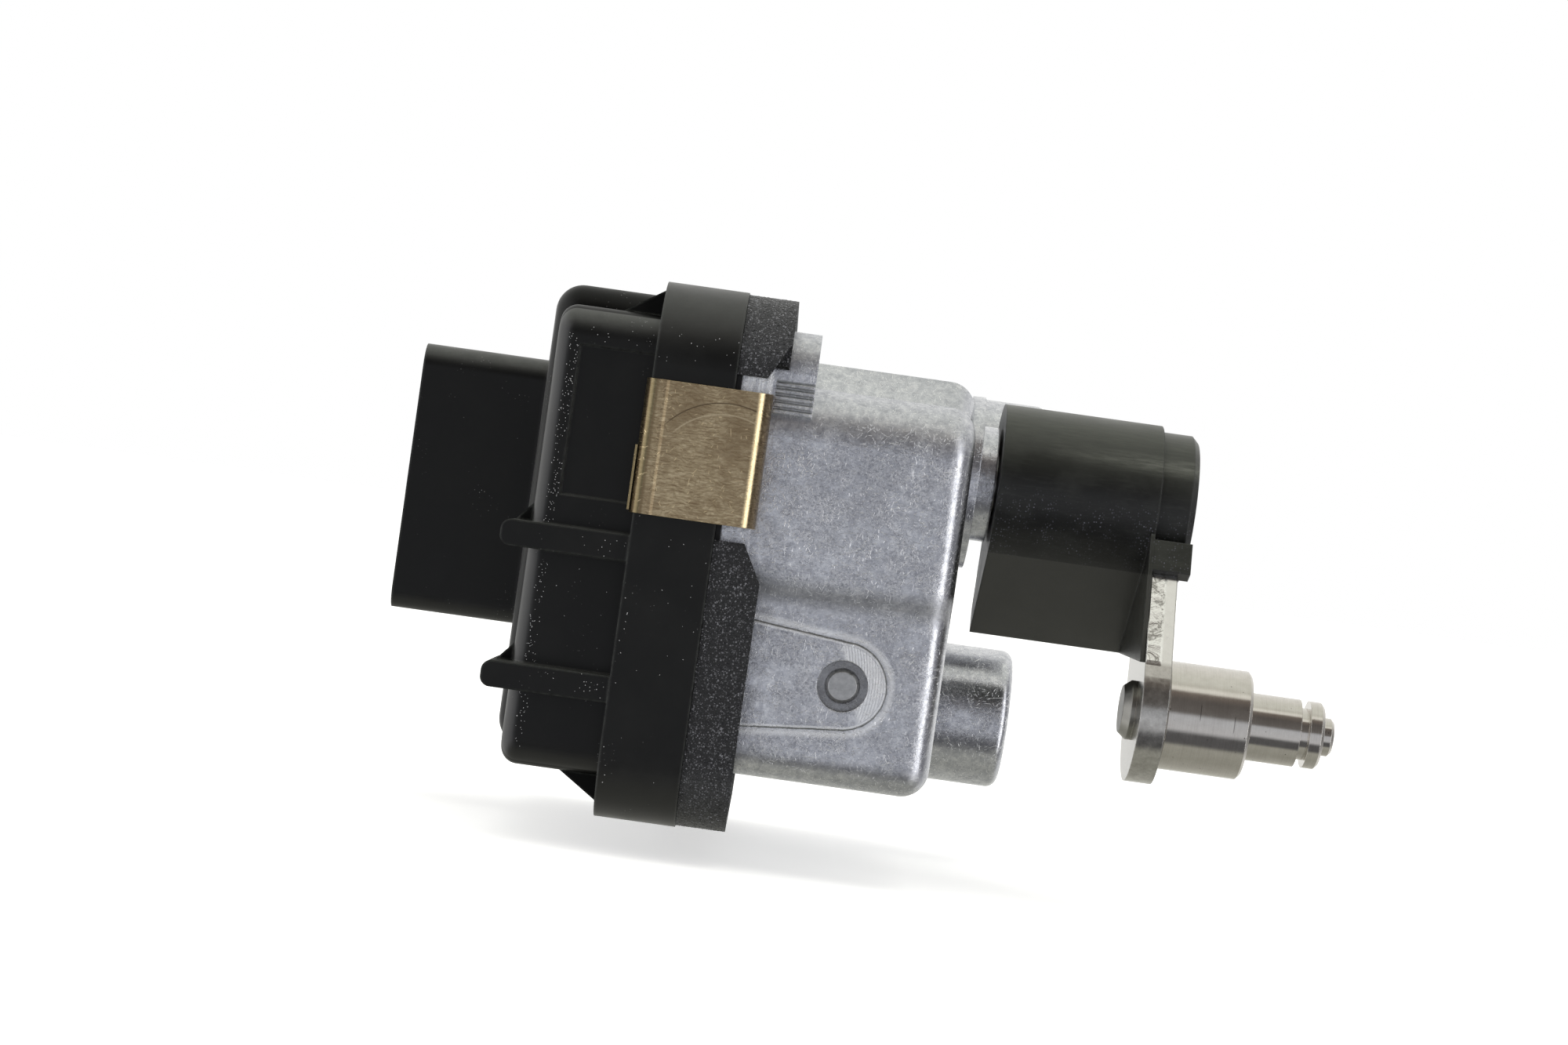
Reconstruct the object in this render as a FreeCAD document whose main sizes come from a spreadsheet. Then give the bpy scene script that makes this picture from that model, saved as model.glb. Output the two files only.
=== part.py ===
import FreeCAD, Part
import math
import os
import re
import Sketcher

# Electronic wastegate actuator, in millimetres.
# X runs along the output shaft, out of the housing. Z is up.
# The origin is on the shaft axis, in the plane of the mounting faces.

Vector = FreeCAD.Vector

SIZES = [
    ("bossLength", 12.8, "mounting faces to the housing's front face"),
    ("housingDepth", 27.1, "front face to the front of the flange"),
    ("flangeThickness", 3.7, "flange of the housing"),
    ("gasketThickness", 0.7, "seal between flange and cover"),
    ("rimDepth", 10.6, "gasket to the back of the cover's rim"),
    ("skirtLip", 2.1, "skirt beyond the flange's front"),
    ("nearBoxDepth", 13.0, "near box behind the rim"),
    ("farBoxExtra", 1.7, "far box behind the near box's back"),
    ("connectorLength", 18.6, "connector shell behind the far box"),
    ("rimNear", 27.5, "shaft axis to the rim's near side"),
    ("rimFar", 53.0, "shaft axis to the rim's far side"),
    ("rimTop", 20.0, "shaft axis to the rim's top"),
    ("rimBottom", 50.0, "shaft axis to the rim's bottom"),
    ("rimCorner", 11.0, "corner radius of the rim"),
    ("skirtWall", 1.8, "wall of the skirt"),
    ("skirtStep", 0.25, "skirt inside the rim's face"),
    ("skirtGap", 0.1, "play between skirt and flange"),
    ("ledgeWidth", 2.2, "ledge that the gasket is pressed on"),
    ("coverWall", 2.4, "wall of the cover"),
    ("nearBoxNear", 23.5, "shaft axis to the near box's face"),
    ("nearBoxTop", 15.3, "shaft axis to the near box's top"),
    ("nearBoxBottom", 44.5, "shaft axis to the near box's bottom"),
    ("boxStep", 12.0, "shaft axis to the step between the boxes"),
    ("farBoxFar", 47.0, "shaft axis to the far box's far side"),
    ("farBoxTop", 18.6, "shaft axis to the far box's top"),
    ("farBoxBottom", 43.0, "shaft axis to the far box's bottom"),
    ("boxCorner", 4.0, "corner radius of the boxes"),
    ("boxEdge", 2.2, "edge radius of the near box's back"),
    ("farBoxEdge", 3.6, "edge radius of the far box's back"),
    ("connectorAway", 20.0, "shaft axis to the connector's middle"),
    ("connectorWidth", 20.0, "connector shell along Y"),
    ("connectorDrop", 9.55, "shaft axis down to the connector's middle"),
    ("connectorHeight", 36.9, "connector shell along Z"),
    ("connectorWall", 1.7, "wall of the connector shell"),
    ("connectorCorner", 3.0, "corner radius of the connector shell"),
    ("connectorRoot", 1.8, "fillet where the shell leaves the box"),
    ("socketDepth", 14.5, "depth of the connector socket"),
    ("pinPitch", 5.4, "distance between contact pins"),
    ("pinHeight", 1.5, "contact pin along Z"),
    ("pinThickness", 0.8, "contact pin along Y"),
    ("pinReach", 8.0, "contact pins inside the socket"),
    ("ribTop", 13.2, "shaft axis to the upper rib's top"),
    ("ribHeight", 3.4, "ribs along Z"),
    ("ribPitch", 18.1, "upper rib to lower rib"),
    ("ribProud", 3.2, "ribs beyond the near box's face"),
    ("ribNose", 3.4, "ribs beyond the near box's back"),
    ("ribRound", 1.3, "rounding of the ribs' noses"),
    ("ribWebHeight", 2.4, "sloped webs on the ribs' noses"),
    ("panelTop", 10.1, "shaft axis to the sunk panel's top"),
    ("panelBottom", 9.2, "shaft axis to the sunk panel's bottom"),
    ("panelDepth", 0.5, "sunk panel in the near box's face"),
    ("panelMargin", 3.2, "near box's back to the sunk panel"),
    ("gussetLength", 5.2, "gussets along X"),
    ("gussetHeight", 3.4, "gussets along Z"),
    ("gussetWidth", 4.0, "gussets along Y"),
    ("housingNear", 24.5, "shaft axis to the housing's near face"),
    ("housingFar", 50.0, "shaft axis to the housing's far face"),
    ("housingBottom", 41.9, "shaft axis to the housing's bottom"),
    ("housingTopNear", 8.9, "shaft axis to the near part of the top"),
    ("housingTop", 12.6, "shaft axis to the far part of the top"),
    ("topStep", 9.0, "shaft axis to the step in the top"),
    ("housingWall", 2.5, "wall of the housing"),
    ("housingEdge", 4.2, "edge radius of the housing"),
    ("topRound", 7.0, "rounding from the near face to the top"),
    ("frontEdge", 3.6, "edge radius at the housing's front"),
    ("cavityCorner", 2.5, "corner radius of the gear space"),
    ("stepTop", 16.0, "shaft axis to the step on the near face"),
    ("stepHeight", 3.1, "slope of that step along Z"),
    ("stepRound", 5.0, "roundings of that step"),
    ("stepDepth", 1.3, "lower area of the near face"),
    ("tonguePad", 0.4, "raised pad round the thrust pin"),
    ("tongueRadius", 5.6, "round end of the pad"),
    ("tongueFlare", 1.4, "extra half height of the pad at the flange"),
    ("earY", 19.0, "shaft axis to the ear boss, towards the viewer"),
    ("earTop", 10.2, "shaft axis to the ear boss, upwards"),
    ("earRadius", 5.5, "ear boss"),
    ("earLength", 5.7, "ear boss in front of the flange"),
    ("earFoot", 4.7, "shaft axis to the ear boss's flat foot"),
    ("towerRadius", 7.75, "bearing boss of the output shaft"),
    ("towerLength", 4.0, "bearing boss in front of the housing"),
    ("domeRadius", 11.6, "dome behind the bearing boss"),
    ("domeLength", 1.6, "dome in front of the housing"),
    ("innerBossLength", 6.7, "bearing boss inside the housing"),
    ("mountY", 36.0, "shaft axis to the mounting bosses"),
    ("mountLow", 33.0, "shaft axis down to the lower mounting boss"),
    ("mountPitch", 36.0, "lower to upper mounting boss"),
    ("mountRadius", 10.0, "mounting boss"),
    ("mountEdge", 1.6, "edge radius at the mounting face"),
    ("mountHole", 2.5, "tapped hole of the mounting boss"),
    ("mountHoleDepth", 11.4, "tapped hole along X"),
    ("shaftRadius", 4.0, "output shaft"),
    ("shaftFit", 0.03, "running fit of the output shaft"),
    ("shaftRecess", 0.7, "shaft's front end inside the sleeve"),
    ("tailRadius", 3.0, "rear end of the output shaft"),
    ("sensorGap", 1.9, "shaft's rear end to the position sensor chip"),
    ("bushWall", 1.5, "wall of the shaft bushes"),
    ("bushLength", 4.4, "shaft bushes along X"),
    ("sealRadius", 6.4, "outside of the shaft seal"),
    ("sealLength", 3.6, "shaft seal along X"),
    ("sealLip", 0.05, "play at the seal's lip"),
    ("sealRelief", 0.8, "seal's bore beyond its lip"),
    ("washerThickness", 0.8, "thrust washer"),
    ("washerRadius", 6.1, "outside of the thrust washer"),
    ("axialPlay", 0.1, "play of what turns, along its axis"),
    ("module", 1.0, "module of the worm drive"),
    ("pressureAngle", 20.0, "flanks of its teeth, in degrees"),
    ("dedendum", 1.25, "depth of its teeth below the pitch circle, in modules"),
    ("sectorPitchRadius", 23.0, "pitch circle of the sector"),
    ("sectorWidth", 5.0, "sector along X"),
    ("sectorHub", 5.9, "hub of the sector"),
    ("sectorTeeth", 9, "teeth of the sector"),
    ("sectorHalfAngle", 34.0, "half angle of the sector's web, in degrees"),
    ("sectorBacklash", 0.42, "what a sector tooth is thinner than half the pitch"),
    ("wormPitchRadius", 5.6, "pitch cylinder of the worm"),
    ("wormTurns", 4.0, "turns of the worm's thread"),
    ("wormBacklash", 0.16, "what the thread is thinner than half the pitch"),
    ("wormThreadRoot", 0.3, "roots of thread and teeth, sunk in what carries them"),
    ("wormCoreLength", 26.0, "worm along Y"),
    ("wormNear", 14.4, "shaft axis to the worm's near end"),
    ("spindleRadius", 2.0, "shaft of motor and worm"),
    ("spindleFit", 0.03, "running fit of the motor shaft"),
    ("spindleNear", 19.8, "shaft axis to the motor shaft's near end"),
    ("spindleFar", 45.4, "shaft axis to the motor shaft's far end"),
    ("wormBushRadius", 4.0, "outside of the worm's bush"),
    ("wormBushLength", 4.0, "worm's bush along Y"),
    ("wormBushFlange", 4.9, "flange of the worm's bush"),
    ("wormBossNear", 15.0, "shaft axis to the end of the worm's boss"),
    ("wormBossRadius", 5.5, "boss for the worm's bush"),
    ("thrustPinRadius", 2.2, "thrust pin"),
    ("thrustPinEnd", 20.0, "shaft axis to the thrust pin's inner end"),
    ("counterboreRadius", 3.3, "counterbore round the thrust pin"),
    ("counterboreDepth", 0.9, "counterbore in the near face"),
    ("thrustPinRecess", 0.35, "thrust pin below the pad's face"),
    ("motorRadius", 10.0, "motor can"),
    ("motorNear", 16.5, "shaft axis to the motor's near end"),
    ("motorLength", 27.5, "motor can along Y"),
    ("motorWall", 1.0, "wall of the motor can"),
    ("motorNose", 4.0, "bearing nose of the motor can"),
    ("motorNoseLength", 2.2, "bearing nose along Y"),
    ("motorFit", 0.1, "play round the motor's nose"),
    ("bulkheadThickness", 2.4, "wall that carries the motor"),
    ("bulkheadTop", 6.6, "motor axis to the top of that wall"),
    ("bulkheadSide", 1.0, "that wall beyond the motor can"),
    ("endCapLength", 2.6, "motor's end cap along Y"),
    ("magnetThickness", 1.4, "motor magnets"),
    ("magnetLength", 18.0, "motor magnets along Y"),
    ("magnetNear", 20.5, "shaft axis to the magnets' near end"),
    ("magnetGap", 4.0, "gap between the two magnets"),
    ("rotorGap", 0.5, "gap between magnets and rotor"),
    ("rotorSlotWidth", 1.8, "slots of the rotor"),
    ("commutatorRadius", 3.4, "commutator"),
    ("commutatorLength", 4.0, "commutator along Y"),
    ("motorScrewOffset", 7.4, "motor axis to its screws"),
    ("motorScrewRadius", 1.0, "motor screws"),
    ("motorScrewHead", 1.8, "heads of the motor screws"),
    ("motorScrewHeadLength", 1.2, "heads of the motor screws along Y"),
    ("motorScrewGrip", 0.9, "motor screws in the can's end"),
    ("terminalWidth", 2.4, "motor terminals"),
    ("terminalThickness", 0.5, "motor terminals along Y"),
    ("terminalOffset", 5.0, "motor axis to each terminal"),
    ("terminalReach", 4.0, "motor terminals along X"),
    ("boardThickness", 1.6, "circuit board"),
    ("boardSetback", 4.0, "gasket to the front of the board"),
    ("boardMargin", 2.0, "rim wall to the edge of the board"),
    ("boardScrewInsetY", 4.2, "far box wall to the board screws, along Y"),
    ("boardScrewInsetZ", 4.2, "far box wall to the board screws, along Z"),
    ("boardPostRadius", 2.6, "posts that carry the board"),
    ("boardScrewRadius", 1.1, "board screws"),
    ("boardScrewHead", 2.2, "heads of the board screws"),
    ("boardScrewHeadLength", 1.4, "heads of the board screws along X"),
    ("boardScrewGrip", 6.0, "board screws in the posts"),
    ("chipSide", 5.0, "position sensor chip"),
    ("chipThickness", 1.0, "position sensor chip along X"),
    ("controllerNear", 5.0, "shaft axis to the controller's near side"),
    ("controllerSide", 12.0, "controller, along Y and Z"),
    ("capacitorRadius", 4.5, "capacitors"),
    ("capacitorLength", 8.0, "capacitors along X"),
    ("capacitorAway", 17.0, "shaft axis to the nearer capacitor"),
    ("capacitorPitch", 11.0, "one capacitor to the other"),
    ("capacitorLow", 25.0, "shaft axis down to the capacitors"),
    ("coilSide", 9.0, "coil, along Y and Z"),
    ("coilLength", 6.0, "coil along X"),
    ("coilNear", 1.0, "shaft axis to the coil's near side"),
    ("coilLow", 30.0, "shaft axis down to the coil's bottom"),
    ("sensorRotorRadius", 6.0, "magnet holder"),
    ("sensorRotorLength", 5.5, "magnet holder along X"),
    ("clipWidth", 17.2, "spring clips along Z"),
    ("clipSheet", 0.6, "sheet of the spring clips"),
    ("clipBend", 1.1, "outside bend radius of the clips"),
    ("clipGroove", 0.15, "pressed groove of the clips"),
    ("clipGrooveWidth", 0.8, "that groove along X"),
    ("clipLip", 0.3, "pressed lip on the clips' back legs"),
    ("clipLegBack", 3.0, "leg behind the rim"),
    ("clipLegFront", 2.9, "leg in front of the flange"),
    ("clipNearZ", 1.7, "shaft axis down to the near clip"),
    ("clipFarUpperZ", 0.0, "shaft axis down to the upper far clip"),
    ("clipFarLowerZ", 30.0, "shaft axis down to the lower far clip"),
    ("windowMargin", 2.0, "skirt window beyond the clip, each side"),
    ("windowTaper", 4.8, "taper of the skirt window"),
    ("windowLand", 0.5, "flange's front to where that taper starts"),
    ("cutBeyond", 1.0, "cuts from outside start this far off the face"),
    ("hubRadius", 11.1, "hub sleeve"),
    ("hubBack", 8.4, "mounting plane to the sleeve's back"),
    ("hubCollarRadius", 10.3, "collar of the sleeve"),
    ("hubCover", 1.5, "collar in front of the arm"),
    ("hubChamfer", 0.8, "chamfer of the collar"),
    ("lobeAngle", 54.0, "start of the flat lobe below the horizontal"),
    ("lobeLength", 19.2, "flat of the lobe"),
    ("lobeBack", 4.0, "lobe's lower end, thickness"),
    ("lobeWall", 0.6, "lobe's wall against the arm's back"),
    ("lobeWallEnd", 26.3, "shaft axis to that wall's corner, along the arm"),
    ("cheekTop", 7.8, "shaft axis to the cheek's shelf"),
    ("cheekHalf", 8.3, "lever's middle to the outside of the cheek"),
    ("cheekReach", 13.0, "shaft axis to the cheek's end"),
    ("cheekFoot", 6.0, "lever's middle to the cheek's inner corner"),
    ("armThickness", 3.5, "lever arm"),
    ("armBack", 12.9, "mounting plane to the arm's back"),
    ("armLength", 29.7, "shaft axis to the lever pin"),
    ("armAngle", 25.0, "arm from straight down, towards the viewer"),
    ("armRoot", 5.6, "arm's eye round the shaft"),
    ("armEye", 9.3, "arm's eye round the pin"),
    ("armSlotPlay", 0.02, "play between arm and sleeve"),
    ("pinShank", 3.4, "shank of the lever pin in the arm"),
    ("rivetRadius", 3.9, "riveted head of the pin"),
    ("rivetLength", 1.6, "riveted head along X"),
    ("rivetSkirt", 0.6, "widest part of the riveted head along X"),
    ("rivetDraw", 0.8, "riveted head's crown inside its skirt"),
    ("shoulderRadius", 7.15, "shoulder of the pin"),
    ("shoulderLength", 11.2, "shoulder along X"),
    ("journalRadius", 4.45, "journal of the pin"),
    ("journalLength", 6.9, "journal along X"),
    ("grooveRadius", 3.4, "groove of the pin"),
    ("grooveLength", 1.2, "groove along X"),
    ("headRadius", 4.4, "head of the pin"),
    ("headLength", 1.9, "head along X"),
    ("tipRadius", 2.5, "tip of the pin"),
    ("tipLength", 1.6, "tip along X"),
    ("pinChamfer", 0.4, "chamfers of the pin"),
]

os.makedirs("parts", exist_ok=True)
doc = FreeCAD.newDocument("WastegateActuator")
sheet = doc.addObject("Spreadsheet::Sheet", "Sizes")
for row, (alias, amount, note) in enumerate(SIZES, start=1):
    sheet.set(f"A{row}", alias)
    sheet.set(f"B{row}", str(amount))
    sheet.set(f"C{row}", note)
    sheet.setAlias(f"B{row}", alias)
doc.recompute()

ALIASES = {alias for alias, amount, note in SIZES}


# Formulas are written with the aliases alone, and point to the sheet here.
def formula(text):
    def cell(word):
        return "Sizes." + word.group() if word.group() in ALIASES else word.group()
    return re.sub(r"[A-Za-z]\w*", cell, text)


def number(text):
    return float(sheet.evalExpression(formula(text)))


def bind(item, prop, text):
    item.setExpression(prop, formula(text))


# Planes across the shaft, each named once.
frontX = "(-bossLength)"
flangeFrontX = f"({frontX} - housingDepth)"
flangeBackX = f"({flangeFrontX} - flangeThickness)"
ledgeX = f"({flangeBackX} - gasketThickness)"
rimBackX = f"({ledgeX} - rimDepth)"
skirtEdgeX = f"({flangeFrontX} + skirtLip)"
nearBoxBackX = f"({rimBackX} - nearBoxDepth)"
farBoxBackX = f"({nearBoxBackX} - farBoxExtra)"
connectorEndX = f"({farBoxBackX} - connectorLength)"
towerX = f"({frontX} + towerLength)"
cavityX = f"({frontX} - housingWall)"
innerBossX = f"({cavityX} - innerBossLength)"
sectorFrontX = f"({innerBossX} - washerThickness - 2 * axialPlay)"
sectorBackX = f"({sectorFrontX} - sectorWidth)"
wormX = f"(({sectorFrontX} + {sectorBackX}) / 2)"
boardFrontX = f"({ledgeX} - boardSetback)"
boardBackX = f"({boardFrontX} - boardThickness)"
tailX = f"({boardFrontX} + chipThickness + sensorGap)"
armFrontX = "(armBack + armThickness)"
collarFrontX = f"({armFrontX} + hubCover)"
shaftFrontX = f"({collarFrontX} - shaftRecess)"

# Worm drive: centre distance and depths of the teeth.
wormZ = "(-(sectorPitchRadius + wormPitchRadius))"
sectorTip = "(sectorPitchRadius + module)"
sectorRoot = "(sectorPitchRadius - dedendum * module)"
wormTip = "(wormPitchRadius + module)"
wormRoot = "(wormPitchRadius - dedendum * module)"

# Near face of the housing below its step, and the pad on it.
lowerFaceY = "(-(housingNear - stepDepth))"
padFaceY = f"({lowerFaceY} - tonguePad)"
cavityNearY = "(-(housingNear - housingWall))"
cavityFarY = "(housingFar - housingWall)"
cavityBottomZ = "(-(housingBottom - housingWall))"
cavityTopZ = "(housingTopNear - housingWall)"
bulkheadNearY = "(motorNear - bulkheadThickness)"
motorFarY = "(motorNear + motorLength)"

# Middle of the lever pin.
pinY = "(-armLength * sin(armAngle * 1deg))"
pinZ = "(-armLength * cos(armAngle * 1deg))"

PLANES = {"X": "YZ_Plane", "Y": "XZ_Plane", "Z": "XY_Plane"}

# Places closer than this are the same place.
samePlace = 1e-3


def newBody(label):
    body = doc.addObject("PartDesign::Body", label)
    body.Label = label
    return body


def moveTo(body, x="0", y="0", z="0"):
    bind(body, "Placement.Base.x", x)
    bind(body, "Placement.Base.y", y)
    bind(body, "Placement.Base.z", z)


# A sketch across one axis of its body, at a place along that axis.
# Across X its own directions are Y and Z, across Y they are X and Z, and across Z they are X and Y.
def sketchAcross(body, name, axis, place="0"):
    sketch = body.newObject("Sketcher::SketchObject", name)
    plane = [item for item in body.Origin.OriginFeatures if item.Role == PLANES[axis]][0]
    sketch.AttachmentSupport = [(plane, "")]
    sketch.MapMode = "FlatFace"
    if place != "0":
        bind(sketch, "AttachmentOffset.Base.z", f"-({place})" if axis == "Y" else place)
    return sketch


def hold(sketch, kind, target, point, text):
    amount = number(text)
    if kind == "Radius":
        index = sketch.addConstraint(Sketcher.Constraint(kind, target, amount))
    elif text == "0":
        axis = -2 if kind == "DistanceX" else -1
        sketch.addConstraint(Sketcher.Constraint("PointOnObject", target, point, axis))
        return
    else:
        index = sketch.addConstraint(Sketcher.Constraint(kind, -1, 1, target, point, amount))
    name = f"{kind[0].lower()}{kind[-1].lower()}{target}"
    sketch.renameConstraint(index, name)
    sketch.setExpression("Constraints." + name, formula(text))


def drawOutline(sketch, corners):
    first = sketch.GeometryCount
    count = len(corners)
    points = [Vector(number(across), number(up), 0) for across, up in corners]
    for index in range(count):
        line = Part.LineSegment(points[index], points[(index + 1) % count])
        sketch.addGeometry(line, False)
    for index in range(count):
        after = first + (index + 1) % count
        sketch.addConstraint(Sketcher.Constraint("Coincident", first + index, 2, after, 1))
    for index, (across, up) in enumerate(corners):
        hold(sketch, "DistanceX", first + index, 1, across)
        hold(sketch, "DistanceY", first + index, 1, up)


def drawRectangle(sketch, left, right, low, high):
    drawOutline(sketch, [(left, low), (right, low), (right, high), (left, high)])


# Four sides and four corner arcs, going round from the lower side's left end.
def drawRounded(sketch, left, right, low, high, corner):
    radius = number(corner)
    x0, x1, y0, y1 = number(left), number(right), number(low), number(high)
    first = sketch.GeometryCount
    sides = [((x0 + radius, y0), (x1 - radius, y0)), ((x1, y0 + radius), (x1, y1 - radius)),
             ((x1 - radius, y1), (x0 + radius, y1)), ((x0, y1 - radius), (x0, y0 + radius))]
    middles = [(x1 - radius, y0 + radius), (x1 - radius, y1 - radius),
               (x0 + radius, y1 - radius), (x0 + radius, y0 + radius)]
    for index, (start, end) in enumerate(sides):
        sketch.addGeometry(Part.LineSegment(Vector(*start, 0), Vector(*end, 0)), False)
        ring = Part.Circle(Vector(*middles[index], 0), Vector(0, 0, 1), radius)
        turned = (index - 1) * math.pi / 2
        sketch.addGeometry(Part.ArcOfCircle(ring, turned, turned + math.pi / 2), False)
    for index in range(8):
        joint = (first + index, 2, first + (index + 1) % 8, 1)
        sketch.addConstraint(Sketcher.Constraint("Tangent", *joint))
    for index, (kind, text) in enumerate((("DistanceY", low), ("DistanceX", right),
                                          ("DistanceY", high), ("DistanceX", left))):
        level = "Horizontal" if kind == "DistanceY" else "Vertical"
        sketch.addConstraint(Sketcher.Constraint(level, first + 2 * index))
        hold(sketch, kind, first + 2 * index, 1, text)
    hold(sketch, "Radius", first + 1, 0, corner)
    for index in (3, 5, 7):
        sketch.addConstraint(Sketcher.Constraint("Equal", first + 1, first + index))


def drawCircle(sketch, across, up, radius):
    index = sketch.GeometryCount
    middle = Vector(number(across), number(up), 0)
    sketch.addGeometry(Part.Circle(middle, Vector(0, 0, 1), number(radius)), False)
    hold(sketch, "DistanceX", index, 3, across)
    hold(sketch, "DistanceY", index, 3, up)
    hold(sketch, "Radius", index, 0, radius)


# Pads or pockets a drawing from one place along an axis to another.
def extrude(body, kind, name, axis, start, end, draw, *shape):
    place = end if axis == "Y" else start
    sketch = sketchAcross(body, name + "Outline", axis, place)
    draw(sketch, *shape)
    feature = body.newObject("PartDesign::" + kind, name)
    feature.Profile = sketch
    bind(feature, "Length", f"({end}) - ({start})")
    if kind == "Pocket":
        feature.Reversed = True
    doc.recompute()
    return feature


def padUp(body, name, axis, start, end, draw, *shape):
    return extrude(body, "Pad", name, axis, start, end, draw, *shape)


def cutOut(body, name, axis, start, end, draw, *shape):
    return extrude(body, "Pocket", name, axis, start, end, draw, *shape)


# Turns a profile: about X its corners are (along X, radius), about Y they are (radius, along Y).
def turn(body, name, axis, corners, kind="Revolution"):
    sketch = sketchAcross(body, name + "Profile", "Y" if axis == "X" else "Z")
    drawOutline(sketch, corners)
    feature = body.newObject("PartDesign::" + kind, name)
    feature.Profile = sketch
    feature.ReferenceAxis = (sketch, ["H_Axis" if axis == "X" else "V_Axis"])
    feature.Angle = 360
    doc.recompute()
    return feature


# Rounds or chamfers the edges of a body's tip that a test picks.
def dressEdges(body, kind, name, size, picks):
    tip = body.Tip
    names = [f"Edge{index}" for index, edge in enumerate(tip.Shape.Edges, start=1) if picks(edge)]
    feature = body.newObject("PartDesign::" + kind, name)
    feature.Base = (tip, names)
    bind(feature, "Radius" if kind == "Fillet" else "Size", size)
    doc.recompute()
    return feature


def runsAlong(edge, axis):
    if len(edge.Vertexes) != 2 or not isinstance(edge.Curve, Part.Line):
        return False
    way = edge.Vertexes[1].Point - edge.Vertexes[0].Point
    return way.normalize().cross(axis).Length < samePlace


def near(one, other):
    return abs(one - other) < samePlace


alongX = Vector(1, 0, 0)
alongY = Vector(0, 1, 0)
alongZ = Vector(0, 0, 1)


def edgesAlongX(low, high, outline):
    places = [(number(across), number(up)) for across, up in outline]

    def picks(edge):
        if not runsAlong(edge, alongX):
            return False
        box = edge.BoundBox
        if box.XMax < number(low) or box.XMin > number(high):
            return False
        return any(near(box.Center.y, y) and near(box.Center.z, z) for y, z in places)
    return picks


def edgesAlongY(x, heights):
    place = number(x)
    levels = [number(height) for height in heights]

    def picks(edge):
        middle = edge.BoundBox.Center
        return runsAlong(edge, alongY) and near(middle.x, place) and any(near(middle.z, z) for z in levels)
    return picks


# Edges in the plane across X, or only those that start nearer than some place along Y.
def edgesAt(x, nearerThan="1000"):
    place = number(x)
    limit = number(nearerThan)

    def picks(edge):
        box = edge.BoundBox
        return near(box.XMin, place) and near(box.XMax, place) and box.YMin < limit - samePlace
    return picks


# Edges in the plane across X that lie inside a box of Y and Z.
def edgesWithin(x, box):
    place = number(x)
    left, right, low, high = [number(side) for side in box]

    def picks(edge):
        bound = edge.BoundBox
        inside = bound.YMin > left - samePlace and bound.YMax < right + samePlace
        inside = inside and bound.ZMin > low - samePlace and bound.ZMax < high + samePlace
        return near(bound.XMin, place) and near(bound.XMax, place) and inside
    return picks


def rimInset(inset):
    return (f"-(rimNear - ({inset}))", f"rimFar - ({inset})",
            f"-(rimBottom - ({inset}))", f"rimTop - ({inset})")


def cornersOf(left, right, low, high):
    return [(left, low), (right, low), (right, high), (left, high)]


# A block across X with rounded corners.
def roundedBlock(body, kind, name, start, end, box, corner):
    return extrude(body, kind, name, "X", start, end, drawRounded, *box, corner)


CLIPS = [
    ("clip_near", -1, "rimNear", "(-clipNearZ)"),
    ("clip_far_upper", 1, "rimFar", "(-clipFarUpperZ)"),
    ("clip_far_lower", 1, "rimFar", "(-clipFarLowerZ)"),
]

BOARD_POSTS = [
    ("-(boxStep - coverWall - boardScrewInsetY)", "-(farBoxBottom - coverWall - boardScrewInsetZ)"),
    ("-(boxStep - coverWall - boardScrewInsetY)", "farBoxTop - coverWall - boardScrewInsetZ"),
    ("farBoxFar - coverWall - boardScrewInsetY", "-(farBoxBottom - coverWall - boardScrewInsetZ)"),
    ("farBoxFar - coverWall - boardScrewInsetY", "farBoxTop - coverWall - boardScrewInsetZ"),
]

PIN_PLACES = [-2, -1, 0, 1, 2]
connectorMidY = "connectorAway"
connectorMidZ = "(-connectorDrop)"


def connectorBox(inset):
    across = f"(connectorWidth / 2 - {inset})"
    up = f"(connectorHeight / 2 - {inset})"
    return (f"{connectorMidY} - {across}", f"{connectorMidY} + {across}",
            f"{connectorMidZ} - {up}", f"{connectorMidZ} + {up}")


def pinBox(step):
    middle = f"({connectorMidZ} + ({step}) * pinPitch)"
    return (f"{connectorMidY} - pinThickness / 2", f"{connectorMidY} + pinThickness / 2",
            f"{middle} - pinHeight / 2", f"{middle} + pinHeight / 2")


def drawPins(sketch):
    for step in PIN_PLACES:
        drawRectangle(sketch, *pinBox(step))


def drawCircles(sketch, places, radius):
    for across, up in places:
        drawCircle(sketch, across, up, radius)


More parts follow.
